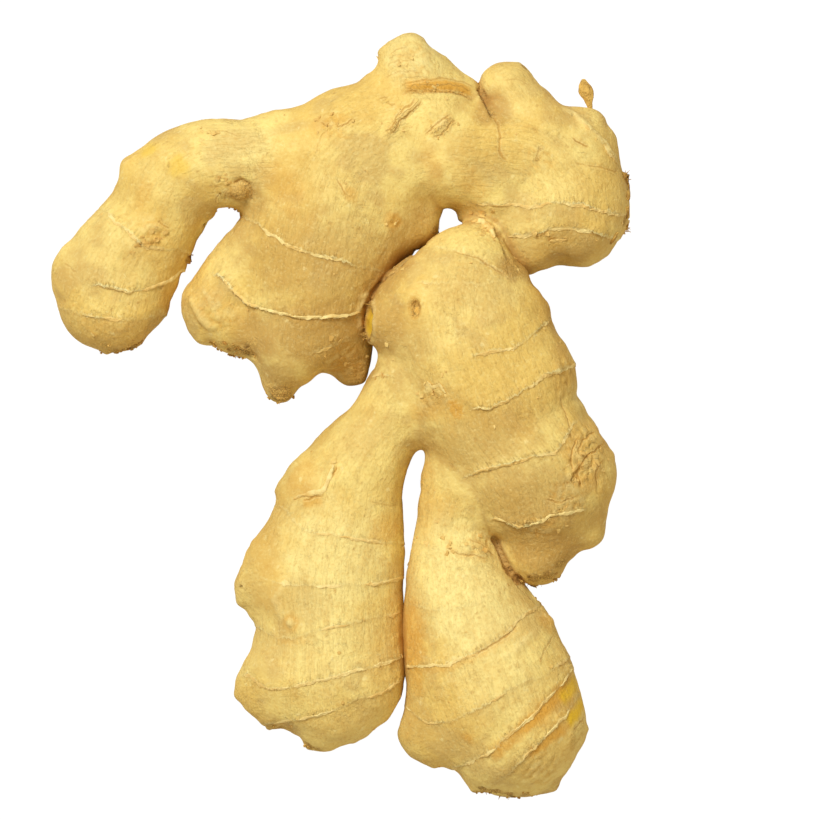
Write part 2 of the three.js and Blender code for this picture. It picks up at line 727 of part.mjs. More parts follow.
const grown = [...STUMPS.map(stump), dryScale(SCALE)].reduce((all, piece) => all.add(piece), rhizome());
const flesh = grown.subtract(floorBlock());

const ginger = new THREE.Mesh(geometryOf(flesh), new THREE.MeshStandardMaterial(SKIN));
ginger.name = "ginger_root";

const hand = new THREE.Group();
hand.add(ginger);
export default hand;
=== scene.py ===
# %% [markdown]
# # A hand of fresh ginger
#
# Ginger is sold as a "hand": one underground stem that has branched into fat fingers. Each finger is
# ringed by the scars of its scale leaves, its skin is a thin dry paper over wet yellow flesh, and here
# and there a bud, a torn root or a rubbed patch breaks the surface.
#
# The lesson grows the hand from round balls strung on the growth lines of its eight shoots, melts them
# into one skin, and then works on that skin as weather and handling do: rings, ridges, scars, tears. Last
# come the loose things that stand off it, such as the ragged paper edges and the dry roots.

import json
import math
import random

import bpy
import numpy as np
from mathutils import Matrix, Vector, noise
from mathutils.bvhtree import BVHTree

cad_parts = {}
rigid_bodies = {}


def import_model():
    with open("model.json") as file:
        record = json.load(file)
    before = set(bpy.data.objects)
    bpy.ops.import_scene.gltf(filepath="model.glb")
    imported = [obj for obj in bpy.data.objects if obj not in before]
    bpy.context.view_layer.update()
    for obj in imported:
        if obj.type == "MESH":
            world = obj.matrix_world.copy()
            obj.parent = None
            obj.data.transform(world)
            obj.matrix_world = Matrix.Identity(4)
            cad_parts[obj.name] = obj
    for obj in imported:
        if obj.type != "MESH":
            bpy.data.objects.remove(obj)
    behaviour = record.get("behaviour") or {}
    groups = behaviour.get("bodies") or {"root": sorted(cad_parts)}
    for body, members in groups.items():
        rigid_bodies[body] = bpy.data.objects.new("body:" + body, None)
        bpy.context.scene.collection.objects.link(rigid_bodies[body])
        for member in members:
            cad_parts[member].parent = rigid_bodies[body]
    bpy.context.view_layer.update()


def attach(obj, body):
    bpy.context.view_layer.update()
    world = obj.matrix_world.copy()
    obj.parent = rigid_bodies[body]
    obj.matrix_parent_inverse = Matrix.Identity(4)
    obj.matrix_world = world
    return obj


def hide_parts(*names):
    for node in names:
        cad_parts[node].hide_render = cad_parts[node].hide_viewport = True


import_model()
MM = 0.001

# %% [markdown]
# ## Camera, table and light
#
# A long lens hangs straight over the hand, so that all of it is seen from nearly the same direction and
# nothing is stretched. The table is white, as in a shop's product picture. One broad soft light stands
# over the upper left corner. Two weaker, warmer ones fill from the right and from below, so that the
# fingers read as round.

# %% Camera straight above
VIEW_WIDTH = 196.8 * MM
VIEW_CENTRE = (16.8 * MM, 1.44 * MM)
WAIST_HEIGHT = 17 * MM  # the height at which the fingers are widest
CAMERA_DISTANCE = 1.6
SENSOR_WIDTH = 36

bpy.ops.object.camera_add(location=(*VIEW_CENTRE, WAIST_HEIGHT + CAMERA_DISTANCE))
camera = bpy.context.object
camera.name = "overhead_camera"
camera.data.sensor_width = SENSOR_WIDTH
camera.data.lens = SENSOR_WIDTH * CAMERA_DISTANCE / VIEW_WIDTH
camera.data.clip_start = 0.05
bpy.context.scene.camera = camera
print("lens", round(camera.data.lens), "mm")

# %% White table
TABLE_SIZE = 6.0
SHADOW_SHARE = 0.08  # how much of the shadow the camera sees
TABLE_LIGHT = (0.62, 0.57, 0.47, 1)  # what the table throws back on the hand
TABLE_GLOW = 1.1
bpy.ops.object.select_all(action="DESELECT")
bpy.ops.mesh.primitive_plane_add(size=TABLE_SIZE, location=(0, 0, 0))
table = bpy.context.object
table.name = "white_table"
table_white = bpy.data.materials.new("table white")
table_white.use_nodes = True
tree = table_white.node_tree
surface = tree.nodes["Principled BSDF"]
surface.inputs["Base Color"].default_value = TABLE_LIGHT
surface.inputs["Roughness"].default_value = 0.9
bright = tree.nodes.new("ShaderNodeEmission")
bright.inputs["Strength"].default_value = TABLE_GLOW
seen = tree.nodes.new("ShaderNodeLightPath")
share = tree.nodes.new("ShaderNodeMath")
share.operation = "MULTIPLY"
share.inputs[1].default_value = 1 - SHADOW_SHARE
mixed = tree.nodes.new("ShaderNodeMixShader")
tree.links.new(seen.outputs["Is Camera Ray"], share.inputs[0])
tree.links.new(share.outputs[0], mixed.inputs[0])
tree.links.new(surface.outputs["BSDF"], mixed.inputs[1])
tree.links.new(bright.outputs["Emission"], mixed.inputs[2])
tree.links.new(mixed.outputs["Shader"], tree.nodes["Material Output"].inputs["Surface"])
table.data.materials.append(table_white)
print("the table is", TABLE_SIZE, "m wide")

# %% Soft lights
WARM = (1.0, 0.88, 0.66)
ROOM_LIGHT = 0.32
LIGHTS = {  # name: place, side length, watts, colour
    "key_upper_left": ((-0.62, 0.9, 1.45), 0.55, 27.7, (0.965, 0.985, 0.96)),
    "fill_right": ((1.1, -0.2, 1.1), 1.2, 4.0, WARM),
    "fill_low": ((-0.2, -1.2, 0.9), 1.2, 2.9, WARM),
}
for name, (place, side, watts, colour) in LIGHTS.items():
    bpy.ops.object.light_add(type="AREA", location=place)
    lamp = bpy.context.object
    lamp.name = name
    lamp.data.size = side
    lamp.data.energy = watts
    lamp.data.color = colour
    lamp.rotation_euler = Vector(place).to_track_quat("Z", "Y").to_euler()

world = bpy.data.worlds.new("pale room")
bpy.context.scene.world = world
world.use_nodes = True
room = world.node_tree.nodes["Background"].inputs
room["Color"].default_value = (*WARM, 1)
room["Strength"].default_value = ROOM_LIGHT
bpy.context.scene.view_settings.view_transform = "Standard"
print(len(LIGHTS), "lights")

# %% [markdown]
# ## The growth lines
#
# A rhizome grows at its tips, and every finger budded from the side of an older one. So the hand is
# written down as eight shoots. Each is a row of stations along its growth axis: where the middle lies,
# how wide it is there, and how thick it is for its width. Side buds are short rows of their own, and a
# joint says where the shoot grew out of the ones before it and how softly the two melt together. All of
# it is in millimetres, like the solid model, and the numbers are the same.

# %% The shoots
# station: x, y, z, half width, thickness / width
# joint: place, depth of the melt, reach
SHOOTS = {
    "upper_body": {
        "axis": [
            [19, 70, 19, 12, 0.9], [9.5, 66.5, 19, 15, 0.86], [1, 58, 18, 17.8, 0.82],
            [-3.5, 46, 17.5, 20, 0.78], [-6.5, 34, 17, 17, 0.84], [-8.5, 23, 16, 13.5, 0.9],
        ],
        "buds": [
            [[-2.5, 63.3, 19, 11.9, 0.85], [-12, 62.8, 19.5, 9.9, 0.9]],
            [[7, 55.5, 17, 14.5, 0.85], [15.4, 48.4, 16, 9.3, 0.9]],
            [[8, 61, 18.5, 13.4, 0.88], [22, 63.4, 18, 12.2, 0.95]],
            [[-17, 40.5, 16, 9.2, 0.95], [-25, 32.7, 14, 9.1, 0.95], [-29, 26.8, 13, 9, 0.95]],
            [[-29.5, 24.5, 13, 6, 1], [-31.9, 22, 12.5, 4.2, 1]],
            [[-25, 22, 13, 5.3, 1], [-23.9, 18.2, 12.5, 3.2, 1]],
            [[-12, 18.8, 15, 10, 0.95], [-13.7, 11.5, 13.5, 5.6, 1], [-14.4, 6.7, 13, 3.7, 1]],
            [[-1, 22, 14, 9, 0.95], [2, 15.6, 12.5, 5.9, 1], [2.5, 10.8, 12, 3.8, 1]],
        ],
    },
    "left_finger": {
        "joint": {"at": [-17, 62, 19], "depth": 8, "reach": 22},
        "axis": [
            [-9.5, 61, 19.5, 10, 0.92], [-23, 60.6, 20, 10.8, 0.93], [-32.6, 60, 18.5, 11, 0.94],
            [-40.3, 55.3, 16, 11.6, 0.94], [-45.2, 46.5, 13.6, 11.9, 0.93], [-51.8, 36.9, 12.2, 13.5, 0.9],
            [-55, 28.3, 12, 13, 0.92],
        ],
        "buds": [
            [[-45.5, 55.5, 17, 4.4, 1], [-49.3, 59.8, 17.5, 2.9, 1]],
            [[-56.4, 33.6, 12, 10, 0.95], [-61.9, 34.4, 12, 7.4, 0.95]],
        ],
    },
    "top_knob": {
        "joint": {"at": [11, 77, 21], "depth": 9, "reach": 14},
        "axis": [
            [22, 71.5, 20, 11.5, 0.95], [18.1, 79.7, 21.5, 9.3, 0.96], [16.3, 85, 22, 6.9, 1],
        ],
        "buds": [
            [[26.2, 76.5, 20, 6, 1], [30, 77.6, 20, 3.4, 1]],
        ],
    },
    "right_body": {
        "joint": {"at": [28, 63, 23], "depth": 8, "reach": 17},
        "axis": [
            [30, 63.7, 17.5, 14.3, 0.9], [45.2, 62.9, 16, 13.2, 0.95], [52.1, 56.6, 14.5, 14.5, 0.93],
            [53.8, 51.3, 14, 15, 0.93], [51.1, 46.7, 14, 9.6, 1],
        ],
        "buds": [
            [[43.2, 44.6, 15, 8.6, 1], [43.2, 40.9, 14.5, 7.1, 1]],
            [[39, 54.5, 16.5, 9, 1], [34.8, 49.6, 16, 5.5, 1]],
            [[58.6, 48.3, 14, 9, 1], [58.9, 43.7, 13.5, 6.5, 1]],
            [[56.5, 64.3, 16, 8.6, 1], [58.8, 67.8, 16.5, 6.2, 1]],
        ],
    },
    "right_finger": {
        "joint": {"at": [46.5, 71, 22], "depth": 9, "reach": 13},
        "axis": [
            [47.6, 67.1, 17, 8, 1], [42.8, 74, 18, 7.6, 1], [40, 78.1, 18.5, 7.2, 1],
        ],
        "buds": [],
    },
    "lower_body": {
        "joint": {"at": [34, 44, 19], "depth": 4, "reach": 10},
        "axis": [
            [33.4, 40.2, 20.5, 6.8, 1], [30, 30.8, 22, 13.8, 0.86], [30.7, 19.4, 22, 19.4, 0.8],
            [35.5, 7.8, 21.5, 20.7, 0.78], [39.4, -2.2, 21, 19.1, 0.78], [46.3, -12.5, 20, 18.3, 0.8],
            [48.8, -22.4, 18, 12.7, 0.86], [46.8, -31.4, 17, 8.9, 0.95],
        ],
        "buds": [
            [[19, 25.4, 23.5, 11.5, 0.9], [14.4, 22.6, 24.5, 8.6, 0.95]],
            [[38.2, 24.8, 22, 9.8, 0.9], [43.5, 26.5, 22, 5, 1]],
            [[54.8, -12, 19, 8.2, 0.95], [60.5, -14.2, 19, 4.9, 1]],
            [[55.6, -20, 17.5, 7.6, 1], [59.2, -26.4, 17, 4.9, 1]],
        ],
    },
    "lower_left": {
        "joint": {"at": [14, 3, 19], "depth": 8, "reach": 20},
        "axis": [
            [17.8, 8, 20, 9.6, 1], [9.9, -3.6, 18.5, 9.4, 1], [3.2, -13.6, 17, 12.2, 0.92],
            [0.4, -23.8, 15.5, 14.6, 0.86], [-2.4, -34.6, 14.5, 17.5, 0.8], [-2.4, -46.6, 14, 17.8, 0.8],
            [-2.2, -60.2, 14.3, 17.9, 0.8],
        ],
        "buds": [
            [[-3.9, -17, 17, 8.3, 0.95], [-11, -16.8, 17, 3.8, 1]],
            [[-14, -33, 15, 6, 1], [-17.5, -33.4, 14.5, 4, 1]],
            [[-12.4, -38.8, 15, 10, 0.95], [-17.9, -40.4, 14.5, 7, 1]],
            [[-12.8, -62.8, 14, 10, 0.95], [-18.1, -65.4, 13.5, 7, 1]],
            [[-12.6, -67.6, 13.5, 5.4, 0.95], [-15.6, -72, 13, 2.8, 1]],
            [[-4.4, -68, 14, 7.6, 0.95], [-4.8, -75.6, 13, 4.8, 1]],
            [[0.4, -65.4, 14, 11.6, 0.9], [3.4, -71.6, 13, 5.6, 1]],
        ],
    },
    "lower_right": {
        "joint": {"at": [29, -17, 18], "depth": 8, "reach": 18},
        "axis": [
            [29.8, -15.8, 19, 9.6, 1], [27.2, -27.4, 17.5, 8.7, 1], [28.7, -39.4, 16, 12.5, 0.95],
            [31.8, -51.8, 15, 16.8, 0.86], [36.3, -63.4, 15, 20, 0.79], [39.6, -71.6, 14.8, 17.8, 0.82],
        ],
        "buds": [
            [[26.2, -72.6, 14, 9.6, 0.95], [21.2, -76.2, 13, 7.3, 1]],
            [[36, -80, 13, 7.8, 0.95], [35.8, -84.9, 12, 5.2, 1]],
            [[40.8, -77.8, 14, 12, 0.9], [41.6, -83.8, 12, 7.3, 0.9]],
            [[47, -81, 13, 7.8, 0.95], [48.2, -85.4, 12, 5, 1]],
            [[48.4, -74.2, 14, 10, 0.95], [51.6, -76.2, 13.5, 6.9, 1]],
        ],
    },
}

# %% [markdown]
# ## From stations to round sections
#
# A few stations give the gesture of a finger. Between them a Catmull-Rom curve fills in round
# sections, not only of the place but also of the width, so the finger swells and narrows smoothly.

# %% Round sections
STEPS = 10  # sections between two stations, as in the solid
BALL_STEPS = 4  # balls between two stations


def round_sections(stations, steps=STEPS):
    stations = np.array(stations, float)
    row = np.vstack([2 * stations[0] - stations[1], stations, 2 * stations[-1] - stations[-2]])
    out = []
    for p0, p1, p2, p3 in zip(row, row[1:], row[2:], row[3:]):
        for t in np.arange(steps) / steps:
            bend = (2 * p0 - 5 * p1 + 4 * p2 - p3) * t ** 2 + (3 * p1 - p0 - 3 * p2 + p3) * t ** 3
            out.append(0.5 * (2 * p1 + (p2 - p0) * t + bend))
    return np.array(out + [stations[-1]])


class Shoot:
    def __init__(self, name, axis, buds, joint=None):
        self.name = name
        self.axis = round_sections(axis)
        self.rows = [self.axis] + [round_sections(bud) for bud in buds]
        self.balls = [round_sections(row, BALL_STEPS) for row in [axis, *buds]]
        self.joint = joint


shoots = [Shoot(name, **numbers) for name, numbers in SHOOTS.items()]
print(len(shoots), "shoots,", sum(len(shoot.rows) - 1 for shoot in shoots), "buds")

# %% [markdown]
# ## A body of balls, fused by remeshing
#
# The base shape is strung like beads: one ball for each section, flattened as the finger is. Overlapping
# balls are hard to join by hand, but the Remesh modifier in voxel mode walks over the outside of the heap
# and gives one closed skin of even squares, which is what the fine relief needs later.

# %% String the balls
VOXEL = 0.64 * MM
SHRINK = 0.5  # balls are strung a little small, so that fingers which lie close don't stick together


def deselect():
    bpy.ops.object.select_all(action="DESELECT")


def use(piece):
    deselect()
    piece.select_set(True)
    bpy.context.view_layer.objects.active = piece


def copy_of(piece):
    copy = piece.copy()
    copy.data = piece.data.copy()
    bpy.context.collection.objects.link(copy)
    return copy


def join(pieces, name):
    deselect()
    for piece in pieces:
        piece.select_set(True)
    bpy.context.view_layer.objects.active = pieces[0]
    bpy.ops.object.join()
    whole = bpy.context.object
    whole.name = name
    bpy.ops.object.transform_apply(location=True, rotation=True, scale=True)
    return whole


def string_balls():
    deselect()
    bpy.ops.mesh.primitive_ico_sphere_add(subdivisions=3, radius=1)
    model = bpy.context.object
    balls = []
    for shoot in shoots:
        for x, y, z, width, thick in np.vstack(shoot.balls):
            ball = copy_of(model)
            width -= SHRINK
            ball.scale = (width * MM, width * MM, width * thick * MM)
            ball.location = (x * MM, y * MM, z * MM)
            balls.append(ball)
    bpy.data.objects.remove(model)
    return join(balls, "ginger_skin")


def apply_modifier(piece, kind, **settings):
    use(piece)
    modifier = piece.modifiers.new(kind.lower(), kind)
    for name, value in settings.items():
        setattr(modifier, name, value)
    bpy.ops.object.modifier_apply(modifier=modifier.name)


skin = string_balls()
apply_modifier(skin, "REMESH", mode="VOXEL", voxel_size=VOXEL, adaptivity=0)
print("the first skin has", len(skin.data.vertices), "points")

# %% [markdown]
# ## Melting the shoots together
#
# The heap of balls still shows every ball. The true surface is where a distance function is zero: the
# distance to the nearest section, with a soft minimum where flesh grew together. Each point of the skin
# slides along the slope of that function until it lies on the zero surface. Where two fingers only press
# on each other the minimum stays hard, and a real crease remains.

# %% The distance to the skin
BUD_BLEND = 5  # how far a bud melts into its own shoot
LUMP = 0.45  # height of the slow unevenness
FAR_OFF = 9  # a row of sections further off than this is passed over
PROBE = 0.05  # the slope is measured over this far to either side
FLATTEST = 0.25  # a slope squared is taken to be at least this
LONGEST_SLIDE = 1.5  # in one pass


def row_distance(row, points):
    low = (row[:, :2] - row[:, 3:4]).min(0)
    high = (row[:, :2] + row[:, 3:4]).max(0)
    found = np.max([*(low - points[:, :2]).T, *(points[:, :2] - high).T], axis=0)
    near = found <= FAR_OFF
    close = points[near]
    best = np.full(len(close), np.inf)
    for x, y, z, width, thick in row:
        across = np.hypot(np.hypot(close[:, 0] - x, close[:, 1] - y), (close[:, 2] - z) / thick)
        best = np.minimum(best, across - width)
    found[near] = best
    return found


def melt(a, b, depth):
    depth = np.maximum(depth, 1e-6)
    share = np.maximum(depth - np.abs(a - b), 0) / depth
    return np.minimum(a, b) - share ** 2 * depth / 4


def unevenness(x, y, z):
    a = np.sin(x / 4.1 + 1.7 * np.sin(y / 9.3))
    b = np.sin(y / 4.7 + 1.3 * np.sin(z / 6.1))
    return a * b * np.cos(z / 5.3 + 1.1 * np.sin(x / 7.9))


def shoot_distances(points):
    """One column for each shoot: the distance to its own skin."""
    columns = []
    for shoot in shoots:
        own = row_distance(shoot.rows[0], points)
        for bud in shoot.rows[1:]:
            own = melt(own, row_distance(bud, points), BUD_BLEND)
        columns.append(own)
    return np.array(columns).T


def field(points):
    columns = shoot_distances(points)
    total = columns[:, 0]
    for shoot, own in zip(shoots[1:], columns.T[1:]):
        joint = shoot.joint
        away = np.linalg.norm(points - joint["at"], axis=1) / joint["reach"]
        total = melt(total, own, joint["depth"] * np.maximum(0, 1 - away ** 2))
    return total - LUMP * unevenness(*points.T)


def slope(points):
    sides = [field(points + PROBE * axis) - field(points - PROBE * axis) for axis in np.eye(3)]
    return np.array(sides).T / (2 * PROBE)


def onto_skin(points, passes):
    for _ in range(passes):
        rise = slope(points)
        steep = np.maximum((rise ** 2).sum(1), FLATTEST)
        move = np.clip(-field(points) / steep, -LONGEST_SLIDE, LONGEST_SLIDE)
        points = points + rise * move[:, None]
    return points


# %% Slide the points onto it
def read_points(piece):
    numbers = np.empty(len(piece.data.vertices) * 3)
    piece.data.vertices.foreach_get("co", numbers)
    return numbers.reshape(-1, 3) / MM


def write_points(piece, points):
    piece.data.vertices.foreach_set("co", (points * MM).ravel())
    piece.data.update()


def edit_all(piece, step, **settings):
    """Do one step of edit mode on the whole mesh."""
    use(piece)
    bpy.ops.object.mode_set(mode="EDIT")
    bpy.ops.mesh.select_all(action="SELECT")
    step(**settings)
    bpy.ops.object.mode_set(mode="OBJECT")


write_points(skin, onto_skin(read_points(skin), 2))
edit_all(skin, bpy.ops.mesh.vertices_smooth, factor=0.5, repeat=3)
flesh = onto_skin(read_points(skin), 2)
write_points(skin, flesh)

# %% Close the slits
STUCK = 0.12  # a point this far off the surface, in mm, hangs in a slit between two of the balls
EDGES_ROUND = 3  # points this many edges off are smoothed too
SLIT_ROUNDS = 60
STILL = 1e-4  # a point that moved less than this has stayed where it was


def smooth_only(piece, chosen, rounds):
    """Even out the chosen points and the ones just round them."""
    use(piece)
    bpy.ops.object.mode_set(mode="EDIT")
    bpy.ops.mesh.select_mode(type="VERT")
    bpy.ops.mesh.select_all(action="DESELECT")
    bpy.ops.object.mode_set(mode="OBJECT")
    piece.data.vertices.foreach_set("select", chosen)
    bpy.ops.object.mode_set(mode="EDIT")
    for _ in range(EDGES_ROUND):
        bpy.ops.mesh.select_more()
    bpy.ops.mesh.vertices_smooth(factor=0.5, repeat=rounds)
    bpy.ops.object.mode_set(mode="OBJECT")
    return read_points(piece)


stuck = np.abs(field(flesh)) > STUCK
smoothed = smooth_only(skin, stuck, SLIT_ROUNDS)
moved = np.linalg.norm(smoothed - flesh, axis=1) > STILL
flesh[moved] = onto_skin(smoothed[moved], 3)
write_points(skin, flesh)
print(int(stuck.sum()), "points freed, left over:", round(float(np.abs(field(flesh)).max()), 3), "mm at most")

# %% Fill the hollow over the lowest lobe
HOLLOW_MIDDLE = (47.6, -30.6)  # the lobe has grown into the body here, and no crease is left on top
HOLLOW_HALF = (6.8, 2.4)
HOLLOW_FLOOR = 20
HOLLOW_ROUNDS = 90
across, along = np.abs(flesh[:, :2] - HOLLOW_MIDDLE).T
hollow = (across < HOLLOW_HALF[0]) & (along < HOLLOW_HALF[1]) & (flesh[:, 2] > HOLLOW_FLOOR)
flesh = smooth_only(skin, hollow, HOLLOW_ROUNDS)
print(int(hollow.sum()), "points evened out")
# %% [markdown]
# ## Which way the skin grew
#
# Rings, fibres and tones all follow the finger, not the room. So every point learns which row of
# sections it lies nearest to, and its place in that row: how far along, how far to the side, how far up.
# Read through these three numbers, a finger is straightened out, and a pattern that is stretched along
# the first of them runs along the finger wherever it bends.

# %% Coordinates that follow the growth
def smooth_step(values, low, high):
    t = np.clip((values - low) / (high - low), 0, 1)
    return t * t * (3 - 2 * t)


def fade_out(values, low, high):
    """One below low, zero above high."""
    return 1 - smooth_step(values, low, high)


def fade_ends(share, end):
    """Zero at both ends of a line and one between, over this share of its length."""
    return smooth_step(share, 0, end) * fade_out(share, 1 - end, 1)


def lengths_along(path):
    """The length of a path up to each of its places."""
    return np.concatenate([[0], np.cumsum(np.linalg.norm(np.diff(path, axis=0), axis=1))])


def places_along(path, lengths, stops):
    return np.column_stack([np.interp(stops, lengths, column) for column in path.T])


columns = shoot_distances(flesh)
owner = columns.argmin(1)
ordered = np.sort(columns, axis=1)
apart = ordered[:, 1] - ordered[:, 0]  # zero in the crease between two shoots
normals = slope(flesh)
normals /= np.linalg.norm(normals, axis=1)[:, None]
melted = columns.min(1) - field(flesh) - LUMP * unevenness(*flesh.T)  # how far a soft joint filled the crease
# painted shade: the crease between two shoots that did not melt together is painted brown
crease_shade = fade_out(apart, 0.3, 2.6) * fade_out(melted, 0.1, 0.7)


def directions(row):
    """Forward, sideways and up at each section of a row."""
    forward = np.gradient(row[:, :3], axis=0)
    forward /= np.linalg.norm(forward, axis=1)[:, None]
    sideways = np.cross(forward, [0, 0, 1])
    sideways /= np.linalg.norm(sideways, axis=1)[:, None]
    return forward, sideways, np.cross(sideways, forward)


rows = [row for shoot in shoots for row in shoot.rows]
gaps = np.array([row_distance(row, flesh) for row in rows]).T
nearest_row = gaps.argmin(1)
gaps.sort(axis=1)
row_seam = gaps[:, 1] - gaps[:, 0]  # zero where one row hands over to the next
grain = np.zeros((len(flesh), 3))
ROW_SHIFT = 53.0  # keeps the patterns of two rows from being alike
for number, row in enumerate(rows):
    mine = nearest_row == number
    offsets = flesh[mine, None, :3] - row[None, :, :3]
    section = (np.linalg.norm(offsets, axis=2) - row[None, :, 3]).argmin(1)
    picked = offsets[np.arange(len(offsets)), section]
    forward, sideways, up = directions(row)
    grown = lengths_along(row[:, :3])[section]
    grain[mine, 0] = grown + (picked * forward[section]).sum(1) + ROW_SHIFT * number
    grain[mine, 1] = (picked * sideways[section]).sum(1)
    grain[mine, 2] = (picked * up[section]).sum(1)
print("the skin follows", len(rows), "rows")

# %% [markdown]
# ## Node rings
#
# A scale leaf wrapped the finger at each node, and dried to a ring. The older skin ends there in a thin
# raised edge, and the younger skin comes out from under it a little lower. The swelling and the step are
# relief. The line itself is too thin for the mesh, so each point keeps its distance from it for the
# material, together with how strong the ring is just there.

# %% Where the rings run
# for each shoot, from its base: places along the ring, how plain it is, how grey it leaves the skin
RING_PATHS = {
    "upper_body": [
        ([(-22.8, 47.5), (-19, 45.5), (-15, 42.6), (-12, 40.6), (-9.5, 39.4), (-5.5, 38.2), (-2.5, 37.3),
          (1, 36.3), (4, 35.6), (7, 35), (10, 34.6)], 0.8, 0.5),
        ([(-28.5, 33.2), (-27, 31.5), (-24, 28.6), (-22, 27), (-20, 26), (-18, 25.3), (-13, 24.2),
          (-10, 23.6), (-3, 23.4), (0, 23.4), (2, 24), (4.5, 25)], 1.2, 0.8),
        ([(-5, 15.2), (-2, 16.8), (1, 17.6), (4, 18.2)], 0.3, 0.2),
    ],
    "left_finger": [
        ([(-57.6, 50.4), (-53, 46), (-50.5, 43.8), (-48.2, 41.4), (-46, 40.1), (-42.5, 40), (-39, 39.6),
          (-36.2, 38.8)], 0.75, 0.5),
        ([(-57.5, 31.4), (-55, 30.5), (-50, 29.6), (-46, 30.4), (-43, 31.2), (-40.5, 32.6),
          (-38.2, 34.8)], 1.3, 0.4),
        ([(-66.5, 25.6), (-62.5, 24.5), (-57.5, 23.5), (-52, 22.8), (-49, 23), (-46, 23.6),
          (-42.5, 24.4)], 0.6, 0.8),
    ],
    "right_body": [
        ([(33, 50.5), (36, 50.7), (38, 50.3), (42, 50.5), (45, 50.1), (50, 50.6), (55, 50.5), (58, 50.2),
          (61.8, 49.1), (66.5, 48.4), (68.6, 48.2)], 1.1, 0.8),
        ([(34, 43.2), (42, 43), (46, 43.1), (48.5, 43.7), (50, 44.8), (54, 44.9), (58, 44.3), (60.5, 43.6),
          (63, 43), (66, 42.2)], 1.1, 1),
        ([(51.5, 75), (54, 73.2), (58.6, 69.6), (60.6, 67.4), (64.6, 63.2), (66.8, 60.4)], 0.5, 0.3),
    ],
    "lower_body": [
        ([(24.5, 39.6), (28, 38.9), (31, 37.9), (34, 36.6), (36.5, 35.2), (39.8, 33.2)], 0.45, 0.3),
        ([(20, 31.6), (23.6, 31.2), (27, 31.5), (31, 31.2), (35, 31.2), (37, 31.7)], 0.45, 0.2),
        ([(33, 14.6), (36, 15.1), (39, 15.5), (41.4, 16.2), (43, 17.4), (45.2, 18.4), (46.8, 19.9),
          (49.6, 22.4)], 0.75, 0.2),
        ([(33.5, 2.2), (35.5, 1.5), (37.5, 2.3), (40, 3.7), (42.2, 5), (46.6, 7.6), (48, 9.2), (51, 10.2),
          (56.5, 12)], 1.1, 0.5),
        ([(19.8, -15), (22.6, -14.8), (26.4, -15.3), (29, -14.9), (33, -13.3), (37.4, -12.2), (41, -11.4),
          (45.4, -10), (48.6, -9.3), (51.4, -8.8), (53, -6.8), (54.2, -4.4), (55.4, -1.4)], 1.1, 0.9),
        ([(38, -24.4), (40.4, -25.4), (42.4, -26.6), (44.6, -26.4), (46.8, -26), (48.6, -24.9), (50, -23.8),
          (53, -23.3), (57, -22.4)], 1, 0.7),
    ],
    "lower_left": [
        ([(8.4, 9.8), (11, 9.8), (13.5, 9.4), (15.6, 8.8), (17, 8.5), (19.5, 9.2), (22, 9.6),
          (24, 9.4)], 0.8, 0.3),
        ([(-13.8, -22.2), (-11.8, -24), (-9.6, -26.3), (-7, -27.7), (-3, -28.3), (2, -29), (8, -30),
          (15, -30.6)], 0.35, 0),
        ([(-23.3, -37), (-19.5, -38.4), (-16, -39.6), (-10, -40.6), (-3, -40.6), (3, -40.2), (9, -39.8),
          (14.4, -38.8)], 0.45, 0.2),
        ([(-20, -50.3), (-17.8, -51.7), (-15.2, -52.8), (-12.4, -53.1), (-9, -52.4), (-4, -51), (2, -49.8),
          (7, -48.4), (12.6, -47.6), (14.6, -47)], 0.65, 0.4),
        ([(-21.6, -62.2), (-19.6, -63.8), (-17, -65.1), (-14, -65.1), (-11, -64.6), (-6, -63.6),
          (-1, -62.4), (3, -60.8), (7, -60.3), (10, -59.2), (15, -57.6)], 0.6, 0.5),
        ([(-17.6, -74), (-12, -73), (-6, -72.2), (-1, -70.2), (4.6, -67.8), (8, -67), (11, -65.8),
          (15.6, -63)], 0.7, 0.3),
    ],
    "lower_right": [
        ([(18, -31.6), (22, -31.8), (26.4, -32.2), (29, -33.2), (31.2, -33.4), (33, -34),
          (36, -33)], 0.2, 0),
        ([(15.6, -44.6), (18.2, -45.4), (22, -46.4), (28, -46.2), (33, -44.6), (37, -42.6),
          (41.6, -39.4)], 0.3, 0),
        ([(15.9, -60), (19, -60), (25.4, -59.3), (28, -57.9), (31, -57.2), (33.2, -56.1), (35.2, -54.6),
          (38, -52.7), (41, -50.7), (44, -47.6), (47, -46)], 0.8, 0.2),
        ([(15.5, -69.8), (17.6, -71.3), (20.6, -73.2), (23.6, -73.3), (27, -72.6), (30, -71.2), (37, -67.4),
          (41, -65.2), (46, -63), (50, -61), (54.6, -58)], 0.55, 0.6),
        ([(27.8, -84.6), (31, -83), (34, -81.4), (36.4, -79.8), (41.4, -75.3), (44, -73), (46.6, -71),
          (49, -68.2), (53.4, -64), (56, -60.6)], 0.6, 0),
        ([(36.4, -88.6), (40.4, -85.6), (43.4, -82.2), (46, -79.4), (48.6, -77), (51, -74.8), (55.2, -70.4),
          (57.6, -66.8)], 0.6, 0),
    ],
}
RING_SPARE = 1  # how far a ring runs past its ends
RING_LIFT, LIFT_LENGTH = 0.16, 0.8  # the edge itself, and how soon it falls off
RING_SWELL, SWELL_LENGTH = 0.3, 3.2  # the swelling before it
RING_DROP, DROP_LENGTH = 0.12, 2.4  # the step down past it
SHADE_LENGTH = 9  # how far the skin stays grey past a ring
NO_RING = 9.0


def wander(points, size, seed=0.0):
    """Smooth noise between -1 and 1, one value for each point."""
    shifted = points / size + np.array([seed * 7.31, seed * 3.77, seed * 5.19])
    return np.array([noise.noise(p) for p in shifted])


def ring_ripple(points):
    return 0.45 * wander(points, 5, 13) + 0.3 * wander(points, 2.1, 2) + 0.18 * wander(points, 0.9, 33)


